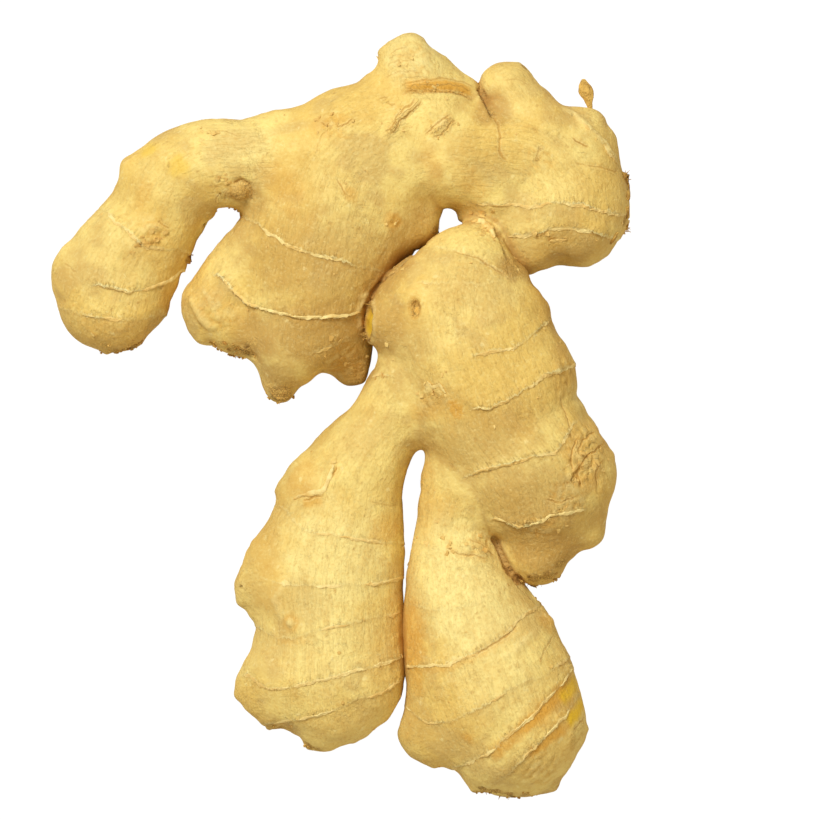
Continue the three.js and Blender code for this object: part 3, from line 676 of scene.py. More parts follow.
class Ring:
    """A ring lies near an upright plane through its ends, and leans out of it as its path does."""

    def __init__(self, shoot, path):
        path = np.array(path, float)
        chord = path[-1] - path[0]
        self.half = np.linalg.norm(chord) / 2
        self.middle = (path[0] + path[-1]) / 2
        self.across = chord / (2 * self.half)
        nearest = np.linalg.norm(shoot.axis[:, :2] - self.middle, axis=1).argmin()
        growth = shoot.axis[min(nearest + 1, len(shoot.axis) - 1), :2] - shoot.axis[max(nearest - 1, 0), :2]
        self.front = np.array([-self.across[1], self.across[0]])
        if self.front @ growth < 0:
            self.front = -self.front
        self.stops = (path - self.middle) @ self.across
        self.leans = (path - self.middle) @ self.front
        self.height = shoot.axis[nearest, 2]
        self.thick = shoot.axis[nearest, 3] * shoot.axis[nearest, 4]

    def measure(self, points):
        """How far each point lies past the ring, and how far to the side of its middle."""
        flat = points[:, :2] - self.middle
        sideways = flat @ self.across
        side = np.clip(3 * (points[:, 2] - self.height) / self.thick, -1, 1)  # it leans the other way below
        return flat @ self.front - side * np.interp(sideways, self.stops, self.leans), sideways

    def place(self, angle, reach):
        """The point of the plane at this angle round the finger, this far from its middle."""
        flat = self.middle + np.outer(reach * np.cos(angle), self.across)
        return np.column_stack([flat, self.height + reach * np.sin(angle)])


ring_distance = np.full(len(flesh), NO_RING)
ring_power = np.zeros(len(flesh))
ring_shade = np.zeros(len(flesh))
ripple = ring_ripple(flesh)
rings = []
for number, shoot in enumerate(shoots):
    for path, power, shade in RING_PATHS.get(shoot.name, []):
        ring = Ring(shoot, path)
        rings.append((number, ring))
        ahead, sideways = ring.measure(flesh)
        ahead = ahead + ripple
        edge = ring.half + RING_SPARE
        inside = (owner == number) & (np.abs(sideways) < edge + 2)
        near = inside & (np.abs(ahead) < np.abs(ring_distance))
        fade = fade_out(np.abs(sideways[near]), edge - 1, edge + 2)
        ring_distance[near] = ahead[near]
        ring_power[near] = fade * power
        ring_shade[near] = fade * shade
ring_power *= smooth_step(apart, 0.3, 2.5)
fade_in = np.clip(0.75 + 1.2 * wander(flesh, 9, 3) + 0.7 * wander(flesh, 3, 22), 0.3, 1.2)
older = (ring_distance < 0) * (ring_distance > -NO_RING)
younger = (ring_distance >= 0) * (ring_distance < NO_RING)
away = np.abs(ring_distance)
swell = RING_LIFT * np.exp(-away / LIFT_LENGTH) + RING_SWELL * np.exp(-away / SWELL_LENGTH)
drop = RING_DROP * np.exp(-away / DROP_LENGTH)
relief = ring_power * fade_in * (older * swell - younger * drop)
past_ring = younger * ring_shade * (np.exp(-away / SHADE_LENGTH) - np.exp(-NO_RING / SHADE_LENGTH))
print(len(rings), "rings, highest edge", round(float(relief.max()), 2), "mm")

# %% [markdown]
# ## Weathered skin
#
# Nothing on a root is smooth. Slow dents come from stones in the soil, fine wrinkles run along the finger
# where it dried, and the driest skin is cockled all over. Each is smooth noise at its own size, and the
# wrinkles are noise that is stretched along the growth.

# %% Dents, wrinkles and cockles
dryness = smooth_step(wander(flesh, 21, 4) + 0.5 * wander(flesh, 8, 5), -0.25, 0.45)
for height, size, seed in ((0.38, 8.5, 6), (0.16, 3.6, 7), (0.05 + 0.09 * dryness, 1.7, 8)):
    relief += height * wander(flesh, size, seed)
seam_fade = smooth_step(row_seam, 0.2, 2.5)
WRINKLE_STRETCH = np.array([9.0, 1.5, 1.5])
wrinkles = np.abs(wander(grain / WRINKLE_STRETCH, 1.0, 9))
relief -= 0.2 * seam_fade * (0.2 + dryness) * np.clip(0.35 - wrinkles, 0, 1)
print("relief from", round(float(relief.min()), 2), "to", round(float(relief.max()), 2), "mm")

# %% [markdown]
# ## Marks of a life in the soil
#
# The marks that make this hand this hand are set down one by one: the folds where a knob presses on its
# neighbour, scars of torn roots and buds, rubbed patches. Each is a line or a spot on the upper skin. It
# adds relief and paints one of the masks, and the material turns each mask into a colour.
# Some of the dusky and brown paint is painted shade, in gaps, notches and creases where the light doesn't
# reach.

# %% Lines and spots on the skin
MASKS = ("golden", "orange", "grey", "dusky_and_shade", "clean", "brown_and_shade", "fresh", "pale")
masks = {name: np.zeros(len(flesh)) for name in MASKS}
LINE_STEP = 1.2
LINE_REACH = 12  # points further off a line than this are passed over
FAR = 99.0
SKY = 80.0
WAIST = 14  # where the skin is looked for beside the hand


def skin_tree(piece):
    return BVHTree.FromObject(piece, bpy.context.evaluated_depsgraph_get())


skin_shape = skin_tree(skin)


def on_top(x, y):
    """The point of the upper skin over this place of the table, or the skin nearest to it."""
    hit = skin_shape.ray_cast((x * MM, y * MM, SKY * MM), (0, 0, -1))[0]
    if hit is None:
        hit = skin_shape.find_nearest((x * MM, y * MM, WAIST * MM))[0]
    return np.array(hit) / MM


def from_line(path):
    """Each point's distance to a line drawn on the upper skin, signed by its side, and how far along."""
    path = np.array(path, float)
    lengths = lengths_along(path)
    count = max(2, int(lengths[-1] / LINE_STEP) + 1)
    line = [on_top(*place) for place in places_along(path, lengths, np.linspace(0, lengths[-1], count))]
    distance = np.full(len(flesh), FAR)
    share = np.zeros(len(flesh))
    box = np.all((flesh > np.min(line, 0) - LINE_REACH) & (flesh < np.max(line, 0) + LINE_REACH), axis=1)
    close = flesh[box]
    best = np.full(len(close), FAR)
    part = np.zeros(len(close))
    for number, (a, b) in enumerate(zip(line, line[1:])):
        run = b - a
        t = np.clip(((close - a) @ run) / (run @ run), 0, 1)
        gap = close - a - t[:, None] * run
        off = np.linalg.norm(gap, axis=1)
        side = np.where(run[0] * gap[:, 1] - run[1] * gap[:, 0] < 0, -1, 1)
        closer = off < np.abs(best)
        best = np.where(closer, off * side, best)
        part = np.where(closer, (number + t) / (count - 1), part)
    distance[box] = best
    share[box] = part
    return distance, share


def bump(distance, width):
    return np.exp(-(distance / width) ** 2)


def paint(name, strength):
    masks[name] = np.maximum(masks[name], strength)


def from_spot(x, y):
    """Each point's distance to a spot of the upper skin."""
    return np.linalg.norm(flesh - on_top(x, y), axis=1)


def from_oval(middle, halves):
    """Each point's distance to the middle of an oval ball, 1 on the ball itself."""
    return np.sqrt((((flesh - middle) / halves) ** 2).sum(1))


def turned_place(x, y, long_half, wide_half, turned):
    """Each point's place on a turned patch: lengthways and crossways in shares of it, and its height."""
    turn = math.radians(turned)
    flat = flesh - on_top(x, y)
    lengthways = (flat[:, 0] * math.cos(turn) + flat[:, 1] * math.sin(turn)) / long_half
    crossways = (flat[:, 1] * math.cos(turn) - flat[:, 0] * math.sin(turn)) / wide_half
    return lengthways, crossways, flat[:, 2]


ragged = wander(flesh, 1.9, 11)
coarse = wander(flesh, 4.5, 12)

# %% Folds and creases
# a brown mask along a crease is partly painted shade: in the deep creases and gaps between fingers it darkens
# where shade falls
CREASES = [  # path, half width, depth, mask, strength of the mask
    ([(32.8, 78.4), (34, 76), (35.4, 73.6), (37.2, 70.9)], 0.7, 2.6, "brown_and_shade", 1),
    ([(36.1, 72), (37.8, 69.8), (38.2, 66.4), (37.8, 63), (40.4, 60)], 0.35, 0.3, "golden", 0.6),
    ([(39, 79.9), (42.5, 80.6), (45.5, 79)], 0.4, 0.2, "golden", 0.35),
    ([(10.4, 80.4), (14.6, 82.2), (20.4, 81.6)], 0.45, 0.25, "golden", 0.35),
    ([(11.4, 83.6), (13.6, 84.8), (17.4, 84.4)], 0.4, 0.2, "golden", 0.35),
    ([(36.6, 45), (38.2, 42.4), (39.4, 39.4), (41, 36)], 0.8, 1.1, "brown_and_shade", 0.9),
    ([(26.5, 39.5), (33, 37.6), (38.4, 34.2), (40.2, 33.4)], 0.5, 0.4, "golden", 0.7),
    ([(25.2, -30.6), (28, -32.8), (31.6, -33.2), (35.9, -34.3)], 0.6, 0.15, "orange", 0.7),
    ([(30.4, -29.6), (34, -30.6), (37.4, -33.6)], 0.6, 0.2, "orange", 0.6),
    ([(30.5, -57.5), (34, -55.8), (38.5, -53.2), (43, -49.6)], 0.75, 0.4, "golden", 0.8),
    ([(51.6, -52), (49.4, -55), (47.7, -59)], 0.4, 0.3, "brown_and_shade", 0.45),
    ([(-66.2, 36.7), (-62.9, 34.2)], 0.4, 0.3, "brown_and_shade", 0.4),
    ([(55.4, 66.4), (57.4, 65), (59.7, 64.3)], 0.45, 0.4, "golden", 0.9),
    ([(48.1, 64.3), (46.6, 61.3)], 0.5, 0.4, "brown_and_shade", 0.5),
    ([(47.6, 64.4), (48.4, 64.6), (48.9, 63.6)], 0.4, 0.3, "brown_and_shade", 0.5),
    ([(55.4, 60.4), (61, 59.6), (67.4, 58.3)], 0.4, 0.25, "golden", 0.5),
    ([(63.5, -6), (60.4, -8.6), (57.6, -10.5), (56.4, -14.5), (58.4, -18)], 0.42, 0.4, "orange", 0.9),
    ([(61.4, -3.4), (58, -5.6), (56.6, -9.2)], 0.4, 0.4, "orange", 0.7),
    ([(57.2, -4.2), (54.9, -9.6), (55.6, -13), (57.4, -17.2)], 0.4, 0.35, "orange", 0.8),
    ([(60.4, -11.6), (56.4, -13.2), (53.4, -17.4)], 0.4, 0.4, "brown_and_shade", 0.4),
    ([(62.8, -10.4), (60.6, -13.4), (61.6, -17)], 0.45, 0.4, "orange", 0.8),
    ([(52.4, 5), (54.6, -1.4), (55.4, -6)], 0.4, 0.2, "golden", 0.6),
    ([(48.5, -19.8), (52.4, -20.6), (56.5, -19)], 0.35, 0.2, "brown_and_shade", 0.6),
    ([(-1, 68.8), (1, 69), (3.2, 70.8)], 0.4, 0.25, "golden", 0.8),
    ([(-4.6, 70), (-2.6, 69), (-1.4, 68.2)], 0.4, 0.25, "golden", 0.6),
    ([(-1.2, 69.2), (-4.4, 66.8), (-5.6, 62.2)], 0.5, 0.2, "golden", 0.4),
    ([(-0.4, 56.5), (0.6, 54.6), (1.4, 52.6)], 0.4, 0.25, "golden", 0.7),
    ([(-43.6, 46.6), (-42, 45.4), (-40.5, 44.6)], 0.4, 0.25, "golden", 0.6),
    ([(-23.8, 66.4), (-27, 68), (-31.8, 68)], 0.4, 0.2, "golden", 0.4),
    ([(7.2, -20.6), (10.6, -21.2), (14.4, -21.4)], 0.45, 0.25, "brown_and_shade", 0.35),
    ([(12.1, 86.2), (14.2, 87.4), (16.3, 87.8)], 0.45, 0.25, "golden", 0.5),
    ([(9.5, 75.6), (11.5, 76)], 0.35, 0.25, "golden", 0.6),
    ([(11.4, 74.5), (13.6, 74)], 0.35, 0.25, "golden", 0.6),
    ([(14.8, 76.8), (16, 77)], 0.35, 0.25, "golden", 0.6),
    ([(14.6, 77.6), (17, 77.3), (20, 77.2), (22.6, 77.5), (26, 77.2), (29, 76.9), (31.4, 76),
      (33, 75.4)], 0.5, 1, "brown_and_shade", 0.8),
    ([(14.4, 78.6), (16.6, 79.4), (19, 79.9), (21.6, 80), (24.4, 80.6), (28, 80.2), (31.6, 79),
      (32.4, 77.8)], 0.4, 0.2, "golden", 0.6),
    ([(19.8, 75.9), (18.8, 74.2), (17.2, 72.6), (15.4, 70.8), (14.2, 70.4), (13.8, 68.6), (12.4, 67.2),
      (11.4, 66.4)], 0.4, 0.45, "brown_and_shade", 0.9),
    ([(18.3, 76.2), (17.4, 74.6), (15.6, 73), (13.9, 71.6), (12.8, 69.6), (11.4, 68),
      (10.6, 67)], 0.4, 0.25, "golden", 0.8),
    ([(20.4, 66.6), (22, 68.6), (24, 70), (26.6, 71.8)], 0.4, 0.3, "golden", 0.9),
    ([(21.8, 66.4), (24, 67), (26, 68.6), (26.4, 69.6), (28, 70.6)], 0.4, 0.45, "brown_and_shade", 0.9),
    ([(58.9, -72.2), (57.4, -74), (56, -75.6)], 0.4, 0.25, "golden", 0.7),
    ([(-27.8, 51), (-27.2, 52.6), (-26.6, 53.8)], 0.35, 0.3, "golden", 0.6),
    ([(-29.6, 50.6), (-29.2, 52.2), (-28.4, 53.4)], 0.35, 0.3, "golden", 0.6),
    ([(-25.8, 55.2), (-23.8, 56), (-22.2, 55.4), (-21.2, 54), (-21.1, 52.2),
      (-21.6, 50.8)], 0.6, 1.3, "brown_and_shade", 0.9),
    ([(-51.8, 60.9), (-50, 62.2), (-48.2, 63.2)], 0.4, 0.2, "orange", 0.9),
    ([(36.2, -28.4), (37.3, -30.6), (38.4, -33.4), (39.8, -37)], 0.7, 0.9, "brown_and_shade", 1),
    ([(21.6, 41.6), (15.5, 37.2), (9.5, 31.9), (6.3, 27.5)], 0.7, 0.7, "brown_and_shade", 1),
    ([(42, -39.8), (44, -42.2), (46.8, -45.2)], 0.4, 0.2, "brown_and_shade", 0.7),
    ([(-21.4, 13.6), (-21.6, 15.4), (-22.2, 17)], 0.7, 0.8, "brown_and_shade", 0.7),
    ([(49.9, 42.6), (51.6, 41.7), (54.4, 42)], 0.4, 0.3, "brown_and_shade", 0.5),
    ([(-9, -20.2), (-7.4, -19.7), (-5.6, -19.3), (-4, -19)], 0.5, 0.3, "orange", 0.9),
    ([(-0.9, -11.8), (-1.1, -13), (-1.9, -14.4)], 0.5, 0.5, "orange", 1),
]
GROOVE, BANK = 0.85, 0.3  # depth of the groove and height of the bank beside it, in shares of the depth
crack_gap = np.full(len(flesh), NO_RING)  # signed distance from the nearest crease, for the material
crack_power = np.zeros(len(flesh))
for path, width, depth, mask, strength in CREASES:
    distance, share = from_line(path)
    ends = fade_ends(share, 0.15)
    wobble = distance + 0.4 * ragged
    relief -= GROOVE * depth * ends * bump(wobble, width)
    relief += BANK * depth * ends * bump(wobble + 1.6 * width, 1.3 * width)
    paint(mask, 0.6 * strength * ends * bump(wobble, 1.6 * width))
    nearer = np.abs(wobble) < np.abs(crack_gap)
    crack_gap[nearer] = wobble[nearer]
    crack_power[nearer] = (strength * ends)[nearer]

LIPS = [  # path, width, height: soft ridges that catch the light
    ([(-29.5, 33.6), (-26, 30.4), (-23.8, 27.9), (-19.6, 26.4)], 1, 0.5),
    ([(-36, 29.8), (-35, 26.6), (-33.2, 23.4), (-29.5, 20.2)], 1, 0.8),
    ([(-33.2, 31.4), (-30, 25.4), (-27.6, 21.8)], 0.9, 0.65),
    ([(52.4, 74.5), (56.2, 72.4), (60.1, 68.1), (63.9, 64.3), (66.5, 60.4)], 0.9, 0.6),
    ([(31.5, 46.4), (34, 46.8), (36, 44.6), (37.2, 42.4)], 0.8, 0.5),
    ([(-52.4, 60.4), (-50.6, 61.6), (-48.4, 63)], 0.7, 0.5),
    ([(21.2, 67.4), (23.4, 68.8), (26.6, 70.6)], 0.7, 0.35),
    ([(18.8, 75.4), (16.4, 72.8), (13.2, 69.6), (11.2, 67)], 0.6, 0.3),
    ([(14.4, 78.2), (19, 79.2), (24.4, 79.6), (31, 78)], 0.9, 0.35),
    ([(-48, 43.6), (-45, 45.8), (-42.6, 43.8)], 0.9, 0.45),
    ([(54.5, -8), (60, -13), (62.5, -12)], 1.2, 0.6),
    ([(-11.6, -38.6), (-15.4, -43.6), (-13.4, -50)], 1.2, 0.5),
    ([(38, -58), (43, -55), (47, -50.4)], 1, 0.4),
]
for path, width, height in LIPS:
    distance, share = from_line(path)
    ends = fade_ends(share, 0.2)
    relief += height * ends * bump(distance + 0.5 * ragged, width)
    paint("pale", 0.4 * ends * bump(distance + 0.5 * ragged, 0.7 * width))
crease_shade *= smooth_step(from_spot(19.5, 71.5), 5, 8)  # the scars stand in a seam that has healed
crease_shade *= smooth_step(from_spot(*HOLLOW_MIDDLE), 7.5, 9)
print(len(CREASES), "creases,", len(LIPS), "lips")

# %% Bands of golden skin under a ring
BANDS = [  # path, half width, mask, strength
    ([(14.8, 78.1), (19, 78.6), (24, 79), (28, 78.7), (32.4, 76.8)], 1.35, "orange", 1),
    ([(19, 77.8), (23, 77.8), (28, 77.8)], 0.6, "golden", 0.9),
    ([(19.1, 75.8), (16.6, 72.4), (13, 69), (11, 66.8)], 0.7, "orange", 0.35),
    ([(21.2, 66.6), (24, 68.6), (27.2, 71.2)], 0.8, "orange", 0.3),
    ([(35, -82.2), (40, -77.8), (45, -73.6), (50, -68.6), (54, -64.6), (57, -61.6)], 1.6, "golden", 1),
    ([(42, -75.6), (46.6, -72.2), (51, -68), (55, -63.6)], 1.7, "orange", 0.75),
    ([(52.6, -68), (55, -65.6), (58.4, -61.4)], 1.6, "fresh", 0.8),
    ([(44.6, -82), (47, -79.6), (50.4, -77.2), (53.6, -75), (56, -73)], 1.2, "golden", 1),
    ([(46, -80.8), (50.4, -77), (54, -74)], 1.1, "orange", 0.7),
    ([(54.4, -73.6), (57, -71), (59, -66.6)], 1.6, "fresh", 1),
    ([(15.9, -60.8), (25, -60.2), (31, -58.2), (37, -54.4), (44, -48.6)], 0.7, "golden", 0.5),
    ([(-9, -21), (-4, -20)], 1.1, "orange", 0.6),
    ([(-15.4, -53.8), (-11, -53.9), (-7, -52.9)], 0.8, "golden", 0.35),
]
for path, width, mask, strength in BANDS:
    distance, share = from_line(path)
    ends = fade_ends(share, 0.12)
    paint(mask, strength * ends * fade_out(np.abs(distance) + 0.6 * ragged, 0.5 * width, 1.5 * width))
print(len(BANDS), "golden bands")

# %% Crinkled places
CRINKLED = [  # x, y, reach, depth: where the skin dried over a scar and drew together
    (58.6, -9, 9, 0.5), (54, 9, 6, 0.35), (54.5, -20, 6, 0.35), (47, -27, 5, 0.35), (34, -31.5, 5, 0.3),
    (-44.6, 43.6, 6, 0.35), (-27, 54, 4.5, 0.35), (-1, 68.6, 6, 0.35), (14.6, 71.6, 4, 0.3),
    (24.4, 69, 4, 0.3), (36, 44, 5, 0.35), (-31, 24, 7, 0.35), (21.6, 4.6, 5, 0.3), (1.6, 13, 7, 0.25),
    (12.8, 46.2, 3, 0.25), (47, 62, 5, 0.25), (17, 85, 7, 0.25), (48, -85, 7, 0.3),
]
veins = np.abs(wander(flesh, 2.3, 31) + 0.35 * ragged)
drawn = fade_out(veins, 0.02, 0.2)
for x, y, reach, depth in CRINKLED:
    local = fade_out(from_spot(x, y) + 1.5 * coarse, 0.5 * reach, reach)
    relief -= depth * local * (drawn - 0.3)
    paint("golden", 0.5 * local * drawn)
    paint("pale", 0.4 * local * smooth_step(veins, 0.3, 0.5))
print(len(CRINKLED), "crinkled places")

# %% Patches of colour
PATCHES = {  # for each mask: strength, x, y, half length, half width, turn in degrees
    "golden": [
        (0.7, 2.4, 52.8, 2, 1.6, -50), (0.4, -14, 55.5, 7, 4, -60), (0.5, -2.2, 69.8, 4.5, 1.5, 15),
        (0.45, -47, 52, 4, 2, 70), (0.4, 21, 1.4, 4, 3), (0.5, -9, -15, 4.4, 3.6, 60),
        (0.4, 20.5, -20, 2, 9), (0.3, 24, -22, 5, 4), (0.6, -41, 28, 2.4, 4.4, -15),
        (0.35, -54.5, 18.6, 10, 4.4), (0.5, 11.5, -27, 4.5, 3.6, 20), (0.15, 13.6, -43, 2.2, 11),
        (0.2, 10, -62, 5, 8), (0.3, 0, -73, 9, 5), (0.2, -19, -38, 5, 10), (0.6, 52, -70, 8, 5, 40),
        (0.4, 50, -81, 9, 5, 30), (0.3, 55, -58, 3, 7, 20), (0.5, 62, -6, 4, 6), (0.4, 53.5, 12, 3, 7),
        (0.2, 67.4, 50, 2.4, 8), (0.15, 64.4, 66, 2.4, 6, 20), (0.35, 49, 27, 3, 6, 20),
        (0.8, 17.6, -54, 3, 10), (0.6, 49.6, -49.6, 3, 2, -50), (0.7, 30.6, -76.9, 1.8, 0.9, -40),
        (0.6, 58, -10, 8, 4, -60), (0.4, 22, 60, 5, 2, -70), (0.45, 31, 56, 5, 2.5, -60),
    ],
    "fresh": [
        (0.45, -45.6, 63.6, 2.4, 1.3, 30), (0.4, -38.4, 59.6, 2.6, 2.4),
    ],
    "grey": [
        (0.7, -26, 64, 7, 4, 15), (0.8, -29.3, 62.2, 1.2, 0.8), (0.35, 29, 64, 5, 4),
        (0.4, 37, 58.6, 4, 3, -40), (0.4, 44, 47, 12, 3), (0.6, 22, 4.5, 5, 4), (0.35, 45, -26, 7, 6),
        (0.3, 42, -86, 8, 3.2, 10),
    ],
    # brown patches: darker skin, and painted shade at the notches and beside the cut knob
    "brown_and_shade": [
        (0.3, 57, -76.4, 1.6, 3.6, -20), (0.2, 45.8, -27.4, 4, 3), (0.3, -2, 13.5, 4, 3),
        (0.3, 3, 12, 4, 3), (0.25, -28.4, 52.2, 2.4, 1.3, 20), (0.35, -21, 17.8, 2, 1.6),
        (0.45, 40.8, 35.6, 2.8, 2.4), (0.35, 22, 4.6, 3, 2),
    ],
    "orange": [
        (0.6, 12.6, 46.5, 2.2, 1.8),
    ],
    # dusky patches: darker skin, and painted shade on shaded flanks, under overlapping fingers and in the
    # gaps between them
    "dusky_and_shade": [
        (0.8, -21, 50.5, 4, 4), (0.8, 31, 49, 3.5, 3.5), (1, 41.6, 35.6, 4.6, 3.4), (0.7, 18, 17.5, 5, 5),
        (1, -19.5, 19, 6, 6), (1, 3, 12, 6, 6), (0.5, -17.5, -43.5, 5, 4), (0.45, -18, -57, 4, 5),
        (0.5, 61.6, -24.6, 3, 3), (0.2, -54, 36, 10, 6), (0.3, -58, 41, 5, 5), (0.5, -24, 45, 6, 6),
        (0.35, -4, 30, 14, 7), (0.5, -16, 17, 5, 5), (0.5, 7, 38, 5, 9), (0.4, 15, 12, 6, 8),
        (0.35, 28, 0, 8, 6), (0.35, 40, -18, 9, 6), (0.35, -13, -15, 5, 5), (0.4, -18, -32, 4, 9),
        (0.3, -20, -42, 4, 4), (0.25, -18, -57, 5, 8), (0.15, 30, 33, 10, 6), (0.2, -2, 54, 12, 9),
        (1, 36.8, 73.4, 4, 4.6), (0.25, 51, 40, 12, 4), (0.1, -40, 56, 9, 5), (0.7, -4.8, 38, 18, 11),
        (1, -4, 20, 15, 9), (0.9, 13.2, 38.6, 18, 5, 58), (0.35, -64, 36, 8, 4, 70),
        (0.7, 33.6, -6, 15, 8, 20), (0.8, 44, -21, 12, 9, -30), (1, 49, -32, 9, 6), (0.9, 11.6, 20.4, 5, 8),
        (0.4, 6, -5, 7, 5, 40), (0.35, 33, 31, 8, 6), (0.8, -14, 8, 5, 6), (0.35, -11, -20, 6, 5),
        (0.35, -10, -44, 6, 6), (0.45, 17.6, -73, 4, 7), (0.5, 10, 31, 4, 8),
    ],
    "clean": [
        (1, 30.4, -42, 19, 11, -68), (0.6, 36, -58, 14, 10, -50), (0.9, -2, -35, 15, 12, 90),
        (0.6, -2, -52, 14, 12), (0.4, 41, 78, 7, 7), (0.8, 17, 86, 7, 6), (0.5, -24, 64, 8, 5),
        (0.2, 50, 60, 10, 9), (0.35, 30, 30, 12, 9),
    ],
}
EDGE_OF_PATCH = 0.45
for mask, patches in PATCHES.items():
    for strength, x, y, long_half, wide_half, *turned in patches:
        lengthways, crossways, up = turned_place(x, y, long_half, wide_half, *turned or [0])
        deep = up / (long_half + wide_half)
        off = np.sqrt(lengthways ** 2 + crossways ** 2 + deep ** 2) + 0.3 * ragged + 0.25 * coarse
        paint(mask, strength * fade_out(off, 1 - EDGE_OF_PATCH, 1 + EDGE_OF_PATCH))
print(sum(map(len, PATCHES.values())), "patches in", len(PATCHES), "masks")

# %% Buds, eyes and scars of torn roots
EYES = [  # x, y, radius, depth, how brown: pits with a raised rim
    (-23.8, -40.8, 0.7, 0.4, 0.9), (-47.7, 40.9, 0.7, 0.5, 0.9), (47, 61.2, 0.7, 0.4, 0.7),
    (49.2, 68.2, 0.9, -0.3, 0.1), (51.5, 67.4, 0.8, -0.3, 0.1), (42.2, -59.6, 0.8, 0.2, 0.3),
    (-40.6, 60.2, 0.6, 0.3, 0.6), (52.4, -22.4, 0.8, 0.5, 0.8), (12.2, 46.9, 0.9, -0.4, 0.2),
    (13.3, 45.9, 0.7, -0.35, 0.2), (-7.4, 41.3, 0.6, 0.2, 0.5),
]
HIDDEN_SCARS = 34  # on the flanks and the underside, where most roots grew
dice = random.Random(7)
low_points = np.flatnonzero((normals[:, 2] < 0.25) & (flesh[:, 2] > 1.5) & (apart > 4))
spots = [(on_top(x, y), radius, depth, brown_and_shade) for x, y, radius, depth, brown_and_shade in EYES]
for _ in range(HIDDEN_SCARS):
    place = flesh[dice.choice(list(low_points))]
    spots.append((place, dice.uniform(0.7, 1.7), dice.uniform(0.25, 0.6), dice.uniform(0.4, 0.9)))
for place, radius, depth, brown_and_shade in spots:
    off = np.linalg.norm(flesh - place, axis=1) + 0.25 * ragged
    relief -= depth * bump(off, 0.8 * radius)
    relief += 0.35 * np.clip(depth, 0, 0.8) * bump(off - 1.35 * radius, 0.55)
    paint("brown_and_shade", brown_and_shade * fade_out(off, 0.5 * radius, 1.15 * radius))
    paint("pale", 0.2 * bump(off - 1.5 * radius, 0.5))
print(len(spots), "eyes and scars")

# %% An oval eye with its bud, a nub, and stains with a clean edge
eye = on_top(17.9, 25.7)
oval = from_oval(eye, (1.4, 2.4, 3)) + 0.12 * ragged
relief -= 2.2 * fade_out(oval, 0.5, 1.05)
relief += 0.3 * bump(oval - 1.35, 0.25)
bud = from_oval(eye - (0, 0.5, 0), (0.75, 1.2, 3))
relief += 1.1 * fade_out(bud, 0.3, 1.2)
# painted shade in the pit round the bud
paint("brown_and_shade", 0.75 * smooth_step(bud, 0.7, 1.1) * fade_out(oval, 0.8, 1.1))
paint("golden", 0.7 * fade_out(oval, 0.9, 1.3))

off = from_spot(-23.9, 53.2) + 0.35 * ragged
relief += 1.3 * fade_out(off, 0.9, 2.3)
paint("orange", 0.25 * fade_out(off, 1.5, 2.5))
# painted shade round the knob: dusky and brown rings
paint("dusky_and_shade", 1.0 * fade_out(off, 2.2, 3.8))
paint("brown_and_shade", 0.55 * fade_out(off, 1.6, 2.8))

off = from_spot(-11.7, -49.4) + 0.2 * ragged
relief += 0.9 * bump(off, 0.9)
paint("pale", 0.7 * bump(off, 0.8))
paint("golden", 0.6 * bump(off - 1.6, 0.6))
paint("grey", 0.8 * fade_out(from_spot(-13.6, -50.6) + coarse, 1.4, 3))

STAINS = [  # mask, strength, x, y, half length, half width, turn in degrees
    ("golden", 0.95, 27.6, 1.8, 2.7, 1.5, -58),
    ("golden", 0.5, 30.6, -76.9, 1.4, 0.7, -40),
    ("golden", 0.7, 49.4, -48.6, 1.8, 1.4, -50),
]
for mask, strength, x, y, long_half, wide_half, turned in STAINS:
    lengthways, crossways, up = turned_place(x, y, long_half, wide_half, turned)
    off = np.abs(lengthways) ** 2.4 + np.abs(crossways) ** 2.4 + (up / (2 * long_half)) ** 2
    paint(mask, strength * fade_out(off + 0.5 * ragged, 0.8, 1.15))
off = from_spot(49.8, -48.8)
relief += 0.9 * bump(off, 1.7)
print(len(STAINS), "stains")

# %% Broken, crumbling ends
ROUGH_ENDS = [  # x, y, reach, how dead: the tissue where a bud or a finger broke off
    (-56.6, 16.2, 2.6, 0.35), (-53.2, 15.2, 2.8, 0.55), (-49.6, 16.4, 2.2, 0.75), (-28.2, 17.2, 2, 0.45),
    (-25.2, 15.6, 2.6, 0.6), (-22.4, 15.2, 1.9, 0.9), (-14.2, 5.2, 3.6, 0.7), (40.2, -36.9, 1.5, 0.8),
    (42.8, -38.6, 1.9, 0.9), (46.4, -38.8, 2.1, 1), (49.8, -38.2, 1.9, 1), (52.8, -35.4, 1.3, 0.8),
    (34.2, -89.4, 1.5, 0.8), (37, -90.2, 2, 0.9), (40.4, -90.8, 1.5, 0.7), (44.4, -91, 1.4, 0.6),
    (-7.6, -79, 1.5, 0.8), (-5.2, -80, 1.2, 0.6), (-16.6, -74.6, 1.2, 0.4), (38.2, 83.8, 1.3, 0.25),
    (-36.8, 37.6, 1.4, 0.6), (22.6, 44.4, 1.6, 0.6), (68.4, 57.2, 1.4, 0.6), (68.4, 46.4, 1.4, 0.7),
]
crumbs = wander(flesh, 1.25, 15)
rough_ends = np.zeros(len(flesh))
for x, y, reach, dead in ROUGH_ENDS:
    off = from_spot(x, y) / reach + 0.22 * coarse + 0.2 * ragged
    rough_ends = np.maximum(rough_ends, dead * fade_out(off, 0.6, 1.15))
relief += rough_ends * (0.5 * crumbs + 0.3 * ragged - 0.15)
paint("brown_and_shade", rough_ends)
off = from_oval((36.8, -91.5, 14), (4, 2.6, 3.4)) + 0.1 * ragged
relief -= 1.6 * fade_out(off, 0.6, 1.1)
paint("brown_and_shade", 0.9 * bump(off - 1.15, 0.16))
print(len(ROUGH_ENDS), "broken ends")

# %% [markdown]
# ## The cut knob
#
# One knob of the lower body was sliced off long ago. The cut has dried: its rim curls in and between the
# two lips the yellow flesh still shows.

